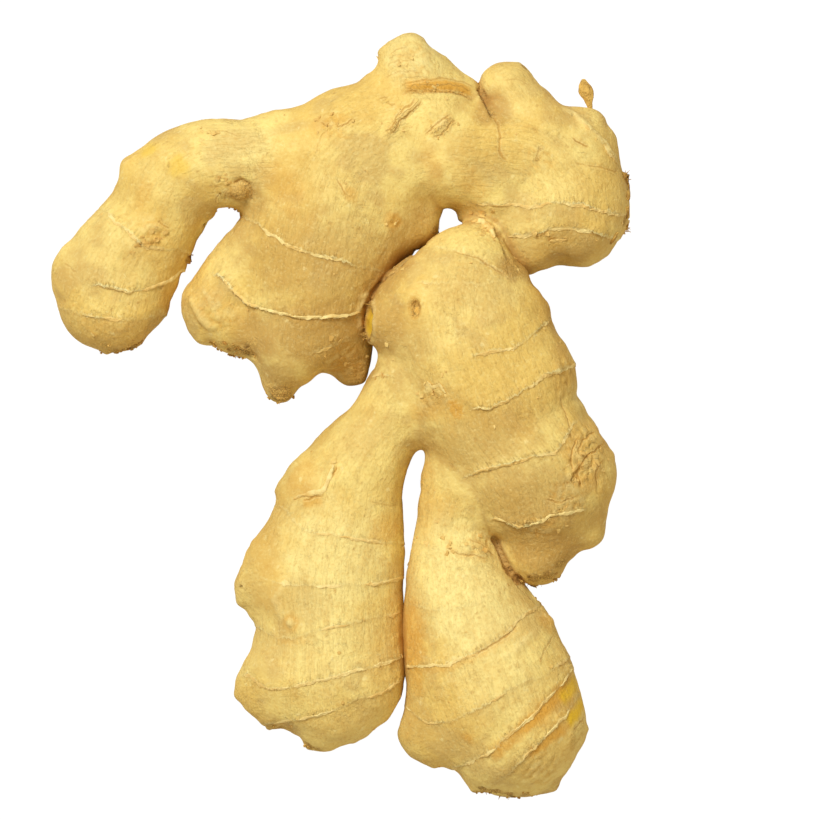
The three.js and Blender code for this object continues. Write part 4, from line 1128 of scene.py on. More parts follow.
# %% Slit of the cut knob
slit = from_oval((6.4, 22.6, 27), (1.8, 4.8, 4.2)) + 0.2 * ragged + 0.12 * crumbs
relief -= 1.2 * fade_out(slit, 0.55, 1.05)
relief += 0.45 * bump(slit - 1.25, 0.16)
paint("fresh", 0.75 * fade_out(slit, 0.7, 1.0))
paint("pale", 0.5 * bump(slit - 1.35, 0.14))
# painted shade: brown just inside the rim of the slit, dusky round its outside
paint("brown_and_shade", 0.85 * bump(slit - 1.08, 0.16))
paint("dusky_and_shade", 0.8 * bump(slit - 1.3, 0.4))

# %% Corners and notches of the outline
WAIST_CORNERS = [  # x, y beside the waist, reach, how far out (or in, if negative)
    (-67.6, 27.4, 2.0, -0.9), (-65, 43, 4.0, -0.4), (-58.6, 49, 3.5, -0.45), (-53.2, 58, 2.2, -0.6),
    (-51, 62.4, 1.8, -0.4), (-46, 66, 3.0, 0.3), (-56.2, 14.6, 1.4, 0.7), (-48, 18, 1.5, 0.5),
    (-45.6, 19, 3.0, -0.5), (-42, 25, 2.6, 0.7), (-39.6, 31, 3.2, 0.8), (-37.2, 36, 1.6, 0.6),
    (-60, 16.8, 2.0, -0.4), (-34, 42, 2.6, -0.8), (-30.6, 48, 1.8, 1.0), (-24.2, 48, 1.8, -1.0),
    (-27.6, 43.4, 1.8, 0.5), (-32.6, 36, 3.0, -0.5), (-37, 22, 2.0, -0.4), (-31.2, 17, 1.7, -1.3),
    (-29.6, 18.4, 1.2, -1.2), (-20.9, 14, 1.2, -1.3), (-18.8, 8, 1.8, 0.4), (-4.4, 9.4, 2.6, -1.1),
    (3, 80.6, 4.0, -0.8), (8, 83.8, 1.6, -1.1), (9.4, 87.2, 1.4, 0.8), (13, 90.8, 2.6, -0.5),
    (22, 89, 2.0, -0.8), (25.4, 86.2, 1.6, 0.4), (29.4, 83, 2.4, -0.9), (31.6, 81, 1.6, -0.9),
    (44, 84.4, 2.0, 0.3), (48.4, 79.2, 2.4, -0.6), (52.4, 75.8, 2.4, -1.3), (64.8, 70, 1.8, -0.6),
    (66.2, 67, 2.0, 0.4), (67.4, 60.4, 2.0, -1.0), (67, 42.4, 1.4, -0.8), (65.4, 40.4, 1.4, -0.5),
    (53, 36.4, 3.0, -1.4), (48, 34.6, 2.0, -0.6), (59.4, 36, 2.0, 0.5), (46.6, 32.4, 2.2, -1.4),
    (49, 29.4, 2.0, -0.7), (50.6, 24, 2.0, -1.0), (52.6, 20.4, 2.6, -0.8), (56.4, 12, 2.6, 0.5),
    (57.6, 4.6, 2.0, -0.8), (60, 0, 3.0, -1.4), (62.8, -4.2, 2.0, -0.9), (65.2, -9.4, 1.3, 0.6),
    (64.4, -21, 1.6, -0.8), (64, -26, 3.0, -0.6), (57.8, -32.6, 2.0, -0.8), (54.8, -35.2, 2.0, -1.0),
    (-8, -8.4, 4.0, -0.6), (-13.4, -14, 2.4, -0.8), (-15.2, -18, 1.1, 0.5), (-14.6, -21.6, 1.4, -1.2),
    (-17.4, -26, 2.4, -1.2), (-20.8, -30.4, 1.2, 0.5), (-23.8, -36, 3.0, -0.7), (-24.6, -45, 1.8, 0.9),
    (-22, -48.2, 1.6, 0.5), (-20.4, -52.6, 3.0, 0.3), (-22.8, -58.4, 2.0, 0.3), (-25, -67.2, 1.4, 0.7),
    (-22.2, -70.6, 2.0, 0.3), (-16.9, -74.7, 1.0, 0.5), (-13.6, -75, 1.8, -1.2), (-10.2, -78, 1.8, -1.0),
    (-7.6, -79.6, 1.0, 0.5), (-0.6, -79.2, 1.5, -1.3), (3.2, -78.4, 1.3, 0.5), (9.4, -75.2, 2.6, -1.2),
    (12.8, -71, 2.0, -1.2), (13.9, -74.4, 1.6, -0.6), (18.4, -83, 1.8, -0.4), (22.6, -84.6, 1.6, 0.8),
    (28, -86, 1.6, -0.9), (32, -90.2, 1.4, 0.7), (37.8, -91.8, 1.6, 0.5), (51.6, -89.8, 1.7, 0.8),
    (54, -86.6, 1.8, 0.3), (57.6, -81, 3.0, -0.8), (59.3, -75.4, 1.0, 0.5), (53.4, -54, 3.0, -0.4),
    (50.8, -49.8, 1.2, 0.5), (47, -44.6, 1.8, -0.6), (19.4, -15, 3.0, 0.7), (19, -21, 3.0, 0.7),
    (18.2, -27.6, 3.0, 0.4), (16.4, -38, 3.0, 0.5), (15.6, -33, 3.0, 0.5), (28.8, 47, 1.4, 1.0),
    (24, 46.4, 1.6, -0.6),
]
waist = flesh[np.abs(normals[:, 2]) < 0.4]
for x, y, reach, out in WAIST_CORNERS:
    corner = waist[np.hypot(waist[:, 0] - x, waist[:, 1] - y).argmin()]
    off = (flesh - corner) / (reach, reach, 2 * reach)
    relief += out * np.exp(-(off ** 2).sum(1))
print(len(WAIST_CORNERS), "corners and notches")

# %% Lay the relief on the skin
write_points(skin, flesh + normals * relief[:, None])
points = read_points(skin)
points[:, 2] = np.maximum(points[:, 2], 0)  # it rests on its lowest places, flattened a little
write_points(skin, points)
bpy.ops.object.shade_smooth()
print("relief from", round(float(relief.min()), 2), "to", round(float(relief.max()), 2), "mm")


def keep(piece, name, values):
    """Keep one value, or one vector, for each point."""
    kind, entry = ("FLOAT", "value") if values.ndim == 1 else ("FLOAT_VECTOR", "vector")
    piece.data.attributes.new(name, kind, "POINT").data.foreach_set(entry, values.astype(np.float32).ravel())


STREAK_STRETCH = np.array([16.0, 2.2, 2.2])
RING_REACH = 2.5
kept = {
    "grain": grain,
    "ring": np.clip(ring_distance, -RING_REACH, RING_REACH),
    "ring_power": ring_power * fade_out(np.abs(ring_distance), 1.5, RING_REACH) * fade_in,
    "past_ring": past_ring,
    "crack_gap": np.clip(crack_gap, -RING_REACH, RING_REACH),
    "crack_power": crack_power * fade_out(np.abs(crack_gap), 1.5, RING_REACH),
    "crease_shade": crease_shade,
    "seam_fade": seam_fade,
    "dryness": dryness,
    "cracked": smooth_step(dryness + 0.6 * wander(flesh, 6, 16), 0.75, 1.25),
    "creamy": smooth_step(wander(flesh, 19, 17) + 0.5 * wander(flesh, 6.5, 18), -0.35, 0.4),
    "stained": smooth_step(wander(flesh, 12, 19) + 0.6 * wander(flesh, 3.4, 20), 0.1, 0.6),
    "streaked": seam_fade * smooth_step(wander(grain / STREAK_STRETCH, 1.0, 21), -0.1, 0.5),
}
for name, values in {**kept, **masks}.items():
    keep(skin, name, values)
print(len(skin.data.attributes), "attributes,", len(skin.data.polygons), "faces")

# %% [markdown]
# ## Groups of nodes for dry plant skin
#
# The materials here are the same stuff in different states: the skin, the paper at its rings, the loose
# flakes and the dead roots. They share groups of nodes. Each group reads a place, in metres on the
# object or in millimetres along the growth, and puts out plain numbers between zero and one. The colours
# and the shader stay in the material.

# %% Small helpers for nodes
def put(tree, kind, wires, **settings):
    """Add a node, set it up, and plug values or other nodes' outputs into it."""
    node = tree.nodes.new(kind)
    for name, value in settings.items():
        setattr(node, name, value)
    for socket, value in wires.items():
        if isinstance(value, bpy.types.NodeSocket):
            tree.links.new(value, node.inputs[socket])
        else:
            node.inputs[socket].default_value = value
    return node


def maths(tree, operation, *values):
    return put(tree, "ShaderNodeMath", dict(enumerate(values)), operation=operation).outputs[0]


def total(tree, *values):
    whole = values[0]
    for value in values[1:]:
        whole = maths(tree, "ADD", whole, value)
    return whole


def times(tree, *values):
    whole = values[0]
    for value in values[1:]:
        whole = maths(tree, "MULTIPLY", whole, value)
    return whole


def off_from(tree, value, middle):
    return maths(tree, "ABSOLUTE", maths(tree, "SUBTRACT", value, middle))


def step_between(tree, value, low, high):
    """Zero below low, one above high, smooth between; low may be above high."""
    wires = {"Value": value, "From Min": low, "From Max": high}
    return put(tree, "ShaderNodeMapRange", wires, interpolation_type="SMOOTHSTEP").outputs["Result"]


def cloud(tree, place, scale, detail=3.0, roughness=0.55, distortion=0.0):
    wires = {
        "Vector": place, "Scale": scale, "Detail": detail, "Roughness": roughness, "Distortion": distortion,
    }
    return put(tree, "ShaderNodeTexNoise", wires).outputs["Fac"]


def scaled(tree, place, size):
    return put(tree, "ShaderNodeVectorMath", {0: place, 1: size}, operation="MULTIPLY").outputs[0]


def stretched(tree, place, scale):
    return put(tree, "ShaderNodeMapping", {"Vector": place, "Scale": scale}).outputs["Vector"]


MIX_FACTOR, MIX_A, MIX_B, MIX_RESULT = 0, 6, 7, 2  # the colour sockets of a Mix node


def blend_colour(tree, factor, below, above):
    wires = {MIX_FACTOR: factor, MIX_A: below, MIX_B: above}
    return put(tree, "ShaderNodeMix", wires, data_type="RGBA").outputs[MIX_RESULT]


def lay_over(tree, colour, layers):
    """Blend colours over a first one, in turn; each layer is its colour and the factors of its strength."""
    for above, *factors in layers:
        colour = blend_colour(tree, times(tree, *factors), colour, above)
    return colour


def tint(red, green, blue):
    """A colour from everyday screen values between 11 and 255."""
    return (*(((v / 255 + 0.055) / 1.055) ** 2.4 for v in (red, green, blue)), 1)


def new_group(name, inputs, outputs):
    group = bpy.data.node_groups.new(name, "ShaderNodeTree")
    for socket, kind, value in inputs:
        made = group.interface.new_socket(socket, in_out="INPUT", socket_type=kind)
        made.default_value = value
    for socket in outputs:
        group.interface.new_socket(socket, in_out="OUTPUT", socket_type="NodeSocketFloat")
    entry = group.nodes.new("NodeGroupInput")
    leaving = group.nodes.new("NodeGroupOutput")
    return group, entry.outputs, leaving


def close_group(group, leaving, results):
    for socket, value in results.items():
        group.links.new(value, leaving.inputs[socket])


def place_group(tree, group, wires):
    return put(tree, "ShaderNodeGroup", wires, node_tree=group).outputs


VECTOR, NUMBER = "NodeSocketVector", "NodeSocketFloat"
ORIGIN = (0, 0, 0)

# %% Dust, specks and flecks
dust, get, leaving = new_group(
    "dust",
    [("Place", VECTOR, ORIGIN), ("Size", NUMBER, 1.0)],
    ["Small", "Dust", "Specks", "Flecks", "Crumbs"],
)
place = scaled(dust, get["Place"], get["Size"])
small = cloud(dust, place, 430.0, 4.0, 0.62, 0.4)
cells = put(dust, "ShaderNodeTexVoronoi", {"Vector": place, "Scale": 380.0}).outputs["Distance"]
edges = put(dust, "ShaderNodeTexVoronoi", {"Vector": place, "Scale": 1300.0}, feature="DISTANCE_TO_EDGE")
close_group(dust, leaving, {
    "Small": step_between(dust, small, 0.33, 0.67),
    "Dust": cloud(dust, place, 1400.0, 2.0, 0.6),
    "Specks": times(dust, step_between(dust, cells, 0.3, 0.12), step_between(dust, small, 0.55, 0.64)),
    "Flecks": times(dust, step_between(dust, cells, 0.36, 0.14), step_between(dust, small, 0.43, 0.36)),
    "Crumbs": step_between(dust, edges.outputs["Distance"], 0.02, 0.22),
})

# %% Fibres that run along the finger
FIBRE_WAVES = (0.15, 1.25, 1.25)  # waves for each millimetre along, sideways and up
fibres, get, leaving = new_group(
    "fibres", [("Grain", VECTOR, ORIGIN), ("Slimness", NUMBER, 1.0)], ["Lines", "Threads"],
)
place = scaled(fibres, get["Grain"], get["Slimness"])
slim = cloud(fibres, stretched(fibres, place, FIBRE_WAVES), 1.0, 4.0, 0.6, 0.4)
ridge = off_from(fibres, slim, 0.5)
close_group(fibres, leaving, {
    "Lines": step_between(fibres, slim, 0.33, 0.67),
    "Threads": step_between(fibres, ridge, 0.022, 0.0),
})

# %% Hairline cracks of dried skin
cracks, get, leaving = new_group("cracks", [("Grain", VECTOR, ORIGIN), ("Amount", NUMBER, 0.5)], ["Lines"])
wandering = cloud(cracks, stretched(cracks, get["Grain"], (0.3, 0.17, 0.17)), 1.0, 5.0, 0.62, 0.9)
from_middle = off_from(cracks, wandering, 0.5)
width = times(cracks, get["Amount"], 0.011)
close_group(cracks, leaving, {
    "Lines": step_between(cracks, maths(cracks, "SUBTRACT", width, from_middle), 0.0, 0.006),
})

# %% The ragged line of a ring
ragged_line, get, leaving = new_group(
    "ragged line",
    [("Grain", VECTOR, ORIGIN), ("Distance", NUMBER, 9.0), ("Power", NUMBER, 0.0), ("Threads", NUMBER, 0.0)],
    ["Edge", "Shade", "Step", "Ticks"],
)
teeth = cloud(ragged_line, stretched(ragged_line, get["Grain"], (0.5, 1.2, 1.2)), 1.0, 4.0, 0.7)
torn = maths(ragged_line, "MULTIPLY_ADD", maths(ragged_line, "SUBTRACT", teeth, 0.5), 2.6, get["Distance"])
power = get["Power"]
before_line = step_between(ragged_line, torn, -0.7, -0.2)
past_line = step_between(ragged_line, torn, 0.75, 0.15)
over = step_between(ragged_line, torn, 0.1, -0.05)
long_before = step_between(ragged_line, torn, -2.3, -0.3)
close_group(ragged_line, leaving, {
    "Edge": times(ragged_line, power, before_line, over),
    "Shade": times(ragged_line, power, maths(ragged_line, "SUBTRACT", 1.0, over), past_line),
    "Step": times(ragged_line, power, over),
    "Ticks": times(ragged_line, power, get["Threads"], long_before, over),
})

# %% The crisp line of a crease
crease_line, get, leaving = new_group(
    "crease line",
    [("Place", VECTOR, ORIGIN), ("Gap", NUMBER, 9.0), ("Power", NUMBER, 0.0)],
    ["Line", "Light"],
)
shaking = maths(crease_line, "SUBTRACT", cloud(crease_line, get["Place"], 900.0, 3.0, 0.6), 0.5)
shaken = maths(crease_line, "MULTIPLY_ADD", shaking, 0.7, get["Gap"])
from_middle = maths(crease_line, "ABSOLUTE", shaken)
beside = off_from(crease_line, from_middle, 0.42)
close_group(crease_line, leaving, {
    "Line": times(crease_line, step_between(crease_line, from_middle, 0.24, 0.06), get["Power"]),
    "Light": times(crease_line, step_between(crease_line, beside, 0.22, 0.05), get["Power"]),
})
print(len(bpy.data.node_groups), "groups")

# %% [markdown]
# ## The skin's finish
#
# The skin is a warm tan that drifts to cream and to grey. Over that come the fibres, the dust and the
# specks, then what the rings and the marks ask for. The same patterns lift or sink the surface, through
# one Bump node, so that every line of colour is also a line in the light.
# Some layers are painted shade: the dark line under each ring and along each crease, the brown in the creases
# between shoots, and a warm darker tint at the grazing rims for bounce light.

# %% Ginger skin
TAN = tint(238, 204, 114)
CREAM = tint(250, 226, 140)
CLEAN = tint(255, 237, 158)
# darker skin tone, also used as painted shade in gaps, notches and on shaded flanks
DUSKY_AND_SHADE = tint(190, 148, 78)
GREY = tint(212, 180, 110)
DUST = tint(206, 162, 82)
GOLDEN = tint(222, 156, 44)
OCHRE = tint(216, 168, 84)
# brown of fibres, specks, cracks and ticks, also used for painted shade: under each ring's edge, along each
# crease and in the creases between shoots
MARK_AND_SHADE_BROWN = tint(172, 116, 50)
BROWN = tint(134, 92, 40)
CRUMB = tint(196, 148, 74)
CRUMB_LIGHT = tint(232, 194, 110)
ORANGE = tint(228, 168, 62)
# painted shade and bounce light: a warm darker tint for the grazing rims, standing in for light bounced
# between the fingers and through the flesh
EDGE = tint(222, 160, 70)
DARK_BROWN = tint(92, 60, 24)
FRESH = tint(244, 200, 36)
PAPER = tint(254, 236, 168)
BUMP_REACH = 0.001  # a height of 1 in the groups is a millimetre


def new_material(name):
    made = bpy.data.materials.new(name)
    made.use_nodes = True
    return made, made.node_tree, made.node_tree.nodes["Principled BSDF"]


def attribute(tree, name):
    node = put(tree, "ShaderNodeAttribute", {}, attribute_name=name)
    return node.outputs["Vector"] if name == "grain" else node.outputs["Fac"]


def object_place(tree):
    return tree.nodes.new("ShaderNodeTexCoord").outputs["Object"]


def surface_of(tree, shader, colour, height, rough, shine):
    """Plug the patterns into the shader, and set how strongly it shines."""
    node = put(tree, "ShaderNodeBump", {"Height": height, "Distance": BUMP_REACH})
    tree.links.new(node.outputs["Normal"], shader.inputs["Normal"])
    tree.links.new(colour, shader.inputs["Base Color"])
    tree.links.new(rough, shader.inputs["Roughness"])
    shader.inputs["Specular IOR Level"].default_value = shine


def weighed_sum(tree, parts):
    return total(tree, *(times(tree, *factors) for factors in parts))


skin_finish, tree, shader = new_material("ginger skin")
fine = place_group(tree, dust, {"Place": object_place(tree), "Size": 1.0})
grain_of = attribute(tree, "grain")
seam = attribute(tree, "seam_fade")
fibre = place_group(tree, fibres, {"Grain": grain_of})
crack = place_group(tree, cracks, {"Grain": grain_of, "Amount": attribute(tree, "cracked")})
line = place_group(tree, ragged_line, {
    "Grain": grain_of, "Distance": attribute(tree, "ring"), "Power": attribute(tree, "ring_power"),
    "Threads": fibre["Threads"],
})
fold = place_group(tree, crease_line, {
    "Place": object_place(tree), "Gap": attribute(tree, "crack_gap"), "Power": attribute(tree, "crack_power"),
})
marks = {name: attribute(tree, name) for name in masks}

# dead tissue is brown; its crevices and hollows are painted darker still, painted shade
crumbly = lay_over(tree, blend_colour(tree, fine["Small"], CRUMB, CRUMB_LIGHT), [
    (BROWN, step_between(tree, fine["Crumbs"], 0.4, 0.0), 0.6),
    (DARK_BROWN, marks["brown_and_shade"], step_between(tree, fine["Small"], 0.34, 0.08)),
])
grazing = put(tree, "ShaderNodeLayerWeight", {"Blend": 0.3}).outputs["Facing"]
dead = step_between(tree, maths(tree, "MULTIPLY_ADD", fine["Small"], 0.35, marks["brown_and_shade"]), 0.2, 1.05)
colour = lay_over(tree, blend_colour(tree, attribute(tree, "creamy"), TAN, CREAM), [
    (GREY, attribute(tree, "stained"), 0.6),
    (CLEAN, marks["clean"], 0.9),
    (GREY, marks["grey"], 0.75),
    (GREY, attribute(tree, "past_ring"), 0.75),
    # painted shade and darker skin, from the dusky mask
    (DUSKY_AND_SHADE, marks["dusky_and_shade"], 0.75),
    (GOLDEN, marks["golden"], maths(tree, "MULTIPLY_ADD", fine["Small"], 0.3, 0.5)),
    # painted warm shade at grazing rims, standing in for bounce light and light through the flesh
    (EDGE, grazing, grazing, 0.3),
    (DUST, attribute(tree, "streaked"), 0.2),
    (DUST, fibre["Lines"], seam, 0.09),
    (MARK_AND_SHADE_BROWN, fibre["Threads"], seam, attribute(tree, "dryness"), 0.09),
    (DUST, fine["Small"], 0.15),
    (OCHRE, step_between(tree, fine["Dust"], 0.5, 0.72), 0.32),
    (PAPER, step_between(tree, fine["Dust"], 0.48, 0.3), 0.22),
    (PAPER, fine["Flecks"], 0.45),
    (MARK_AND_SHADE_BROWN, fine["Specks"], 0.26),
    (MARK_AND_SHADE_BROWN, crack["Lines"], seam, 0.16),
    (MARK_AND_SHADE_BROWN, line["Ticks"], 0.16),
    (PAPER, marks["pale"], 0.6),
    (ORANGE, marks["orange"], 0.85),
    (FRESH, marks["fresh"], 0.92),
    (MARK_AND_SHADE_BROWN, line["Shade"], 0.3),
    (PAPER, line["Edge"], 0.85),
    (PAPER, fold["Light"], 0.3),
    # the crease's dark line, partly painted shade in its groove
    (MARK_AND_SHADE_BROWN, fold["Line"], 0.55),
    (crumbly, dead, 0.9),
    # painted shade in the creases between shoots
    (MARK_AND_SHADE_BROWN, attribute(tree, "crease_shade"), 0.6),
])
height = weighed_sum(tree, [
    (fibre["Lines"], seam, 0.06),
    (fibre["Threads"], seam, -0.03),
    (fine["Small"], 0.1),
    (fine["Dust"], 0.12),
    (fine["Flecks"], 0.06),
    (fine["Specks"], -0.08),
    (crack["Lines"], seam, -0.03),
    (fold["Line"], -0.09),
    (fold["Light"], 0.05),
    (line["Step"], 0.08),
    (line["Ticks"], -0.05),
    (marks["brown_and_shade"], fine["Small"], 0.35),
    (marks["brown_and_shade"], fine["Dust"], 0.25),
    (marks["brown_and_shade"], fine["Crumbs"], 0.12),
])
rough = maths(tree, "MULTIPLY_ADD", fine["Small"], 0.16, 0.55)
rough = weighed_sum(tree, [(rough,), (marks["brown_and_shade"], 0.25), (marks["fresh"], -0.15)])
surface_of(tree, shader, colour, height, rough, 0.24)


def dress(piece, material):
    piece.data.materials.clear()
    piece.data.materials.append(material)
    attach(piece, "root")


dress(skin, skin_finish)
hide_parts("ginger_root")
print("the skin's finish has", len(tree.nodes), "nodes")

# %% Dry paper and dead root
def paper_finish(name, deep, light):
    """Dried skin as thin as paper, between its deepest and its lightest colour."""
    finish, tree, shader = new_material(name)
    place = object_place(tree)
    fine = place_group(tree, dust, {"Place": place, "Size": 1.4})
    broad = step_between(tree, cloud(tree, place, 160.0), 0.38, 0.62)
    colour = lay_over(tree, blend_colour(tree, broad, deep, light), [(OCHRE, fine["Small"], 0.3)])
    height = weighed_sum(tree, [(fine["Small"], 0.08), (fine["Dust"], 0.05)])
    surface_of(tree, shader, colour, height, maths(tree, "MULTIPLY_ADD", fine["Small"], 0.15, 0.6), 0.3)
    return finish


dry_paper = paper_finish("dry paper", tint(238, 203, 124), tint(252, 231, 160))
loose_paper = paper_finish("loose paper", tint(224, 184, 104), tint(240, 210, 132))

dead_root, tree, shader = new_material("dead root")
place = object_place(tree)
fine = place_group(tree, dust, {"Place": place, "Size": 1.2})
broad = step_between(tree, cloud(tree, place, 300.0), 0.4, 0.6)
colour = lay_over(tree, blend_colour(tree, fine["Small"], tint(166, 118, 52), tint(214, 168, 86)), [
    (tint(232, 192, 104), broad, 0.7),
    (DARK_BROWN, fine["Specks"], 0.7),
])
height = weighed_sum(tree, [(fine["Small"], 0.35), (fine["Dust"], 0.15)])
surface_of(tree, shader, colour, height, maths(tree, "MULTIPLY_ADD", fine["Small"], 0.15, 0.7), 0.25)
print("the dead root's finish has", len(tree.nodes), "nodes")

# %% [markdown]
# ## Ragged paper edges
#
# At a ring the dried scale leaf stands off the finger as a torn lip, thinner than paper. A row of narrow
# grids is laid along each ring: one long side is tucked under the skin, the other hangs free over the
# younger skin and is frayed. Where the lip has rubbed off the row has gaps. Solidify gives it its
# thickness.

# %% Where a ring runs over the skin
skin_shape = skin_tree(skin)  # again, now with its relief
corners = np.array([face.vertices[0] for face in skin.data.polygons])


def snap(points):
    """The nearest skin to each point: its place, the way it faces and the number of its mesh point."""
    hits = [skin_shape.find_nearest(Vector(p * MM)) for p in points]
    places = np.array([hit[0] for hit in hits]) / MM
    facing = np.array([hit[1] for hit in hits])
    return places, facing, corners[[hit[2] for hit in hits]]


def settle(spot):
    """The nearest skin to one place, and the way it faces."""
    places, facing, _ = snap(spot[None, :])
    return places[0], facing[0]


RING_STEP = 0.55
RING_RAYS = 181


def ring_course(ring):
    """Points round the finger where the ring runs over the skin, at equal steps."""
    angle = np.linspace(0, 2 * np.pi, RING_RAYS)
    hubs = ring.place(angle, np.zeros(len(angle)))
    rims = ring.place(angle, np.full(len(angle), ring.half))
    hits = [skin_shape.ray_cast(Vector(hub * MM), Vector(rim - hub))[0] for hub, rim in zip(hubs, rims)]
    if any(hit is None for hit in hits):
        return None
    course = np.array(hits) / MM
    for _ in range(2):
        ahead, _ = ring.measure(course)
        course[:, :2] -= ring.front * (ahead + ring_ripple(course))[:, None]
        course, _, _ = snap(course)
    lengths = lengths_along(course)
    return places_along(course, lengths, np.arange(0, lengths[-1], RING_STEP))


def forward_over(ring, facing):
    """The direction of growth, laid flat on the skin."""
    front = np.tile([*ring.front, 0.0], (len(facing), 1))
    front -= (front * facing).sum(1)[:, None] * facing
    return front / np.maximum(np.linalg.norm(front, axis=1), 1e-6)[:, None]


def grid_on(rows, name):
    """A grid primitive whose points are moved onto rows of places: rows[i][j], j across."""
    rows = np.array(rows)
    long, wide = rows.shape[:2]
    deselect()
    bpy.ops.mesh.primitive_grid_add(x_subdivisions=long - 1, y_subdivisions=wide - 1, size=2)
    piece = bpy.context.object
    piece.name = name
    flat = read_points(piece) * MM
    u = np.rint((flat[:, 0] + 1) / 2 * (long - 1)).astype(int)
    v = np.rint((flat[:, 1] + 1) / 2 * (wide - 1)).astype(int)
    write_points(piece, rows[u, v])
    return piece


def thicken(piece, thickness):
    apply_modifier(piece, "SOLIDIFY", thickness=thickness * MM, offset=0)


# %% Lay the lips
LIP_ACROSS = (-0.75, -0.15, 0.5, 1.0)  # places across the lip, the last two in shares of the overhang
LIP_HEIGHT = np.array([-0.16, 0.05, 0.1, 0.11])
LIP_SEAM = 1.5  # no lip this near to a crease between two shoots
LIP_FLOOR = 0.6  # nor this near to the table
LIP_POWER = 0.3  # nor on a ring that is fainter than this
LIP_GAPS = -0.32  # where slow noise is below this, the lip has rubbed off
LIP_SHORTEST = 5
PAPER_THICKNESS = 0.1
dice = random.Random(23)
lips = []
for number, ring in rings:
    course = ring_course(ring)
    if course is None:
        continue
    places, facing, nearest = snap(course)
    present = (owner[nearest] == number) & (apart[nearest] > LIP_SEAM) & (places[:, 2] > LIP_FLOOR)
    present &= ring_power[nearest] * fade_in[nearest] > LIP_POWER
    present &= wander(places, 3.1, 31) > LIP_GAPS
    growing = forward_over(ring, facing)
    fray = 0.3 + 0.45 * np.abs(wander(places, 1.3, 32)) + 0.3 * wander(places, 4.2, 33)
    fray = np.clip(fray + [0.2 * dice.uniform(-1, 1) for _ in fray], 0.1, 1.1)
    curl = 0.7 + 0.9 * np.abs(wander(places, 2.2, 34))
    held, free = LIP_ACROSS[:2], LIP_ACROSS[2:]
    across = np.column_stack([np.full(len(fray), s) for s in held] + [s * fray for s in free])
    out = LIP_HEIGHT[None, :] * np.column_stack([np.ones(len(fray))] * 2 + [curl] * 2)
    start = None
    for index, here in enumerate([*present, False]):
        if here and start is None:
            start = index
        if here or start is None:
            continue
        if index - start > LIP_SHORTEST:
            run = slice(start, index)
            counted = np.arange(index - start)
            taper = np.clip((np.minimum(counted, counted[::-1]) + 0.3) / 3, 0, 1)[:, None]
            spread = places[run, None, :] + growing[run, None, :] * (across[run] * taper)[:, :, None]
            sat, up, _ = snap(spread.reshape(-1, 3))
            lifted = np.where(out[run] > 0, out[run] * taper, out[run]).reshape(-1, 1)
            lips.append(grid_on((sat + up * lifted).reshape(spread.shape), "lip"))
        start = None
ring_lips = join(lips, "ring_lips")
thicken(ring_lips, PAPER_THICKNESS)
dress(ring_lips, dry_paper)
print("lips:", len(lips), "runs,", len(ring_lips.data.polygons), "faces")

# %% [markdown]
# ## Flakes
#
# Between the rings the paper skin has cracked and lifted in small flakes. One flake is a little grid with
# one side held and the other curled up. It is copied all over, most of all along the rings, at the broken
# ends and over the driest skin, each copy with its own size, turn and torn outline.

# %% Scatter the flakes
FLAKE_ROWS, FLAKE_COLUMNS = 4, 4
FLAKES = 200
FLAKE_SIZE = (0.4, 1.2)
FLAKE_CLEAR, FLAKE_SUNK = 0.06, 0.14  # how far its free rows stand off the skin, and its held row is under it
TORN_PLACES = [  # x, y, how many, spread, size: where the skin is visibly torn
    (-1.3, -11, 3, 0.3, 1), (22.6, 6.2, 6, 2.2, 1.1), (20.4, 5.4, 3, 0.8, 1.2), (15, 71, 6, 2.4, 0.8),
    (24, 69, 6, 2, 0.8), (12.6, 46.4, 4, 1, 0.7), (-44.6, 43.8, 9, 2.2, 1.5), (-47.6, 40.4, 6, 1.4, 1.3),
    (29.5, -31.6, 10, 3.4, 1.4), (33, 47.5, 10, 2, 1.5), (34.8, 44.6, 9, 1.6, 1.6),
    (-30.5, 67.6, 6, 1.6, 1.4), (-1.8, 70, 9, 2.8, 1.3), (48.6, 43, 8, 2, 1.5), (-26.5, 56, 6, 1.6, 1.2),
    (59, -12, 12, 3.4, 1.6), (50, -25.6, 8, 3, 1.3), (15.5, 84.6, 6, 2.4, 1.2), (24, 78.8, 4, 3.6, 0.9),
    (0.5, 14.8, 12, 4.5, 1.3), (51.5, -43.8, 8, 2.2, 1.4),
]
dice = random.Random(5)


def flake(place, facing, heading, size):
    """A torn flake held along one side, as rows of places."""
    side = np.cross(facing, heading)
    width = size * dice.uniform(0.5, 1.1)
    lift = size * dice.uniform(0.12, 0.34)
    rows_of_flake = []
    for i in range(FLAKE_ROWS):
        forth = i / (FLAKE_ROWS - 1)
        row = []
        for j in range(FLAKE_COLUMNS):
            across = (j / (FLAKE_COLUMNS - 1) - 0.5) * (1 - 0.45 * forth ** 2)
            jag = dice.uniform(-0.16, 0.16) * size
            at = place + heading * (size * (forth - 0.3) + jag * forth) + side * (width * across + 0.5 * jag)
            row.append((at, lift * forth ** 1.7 + (FLAKE_CLEAR if i else -FLAKE_SUNK)))
        rows_of_flake.append(row)
    flat = np.array([at for row in rows_of_flake for at, _ in row])
    rise = np.array([up for row in rows_of_flake for _, up in row])
    sat, up, _ = snap(flat)
    return (sat + up * rise[:, None]).reshape(FLAKE_ROWS, FLAKE_COLUMNS, 3)


def tangent(facing, angle):
    """A direction on the skin, turned by this angle."""
    first = np.cross(facing, [0.31, 0.17, 0.94])
    first /= np.linalg.norm(first)
    return math.cos(angle) * first + math.sin(angle) * np.cross(facing, first)


flakes = []
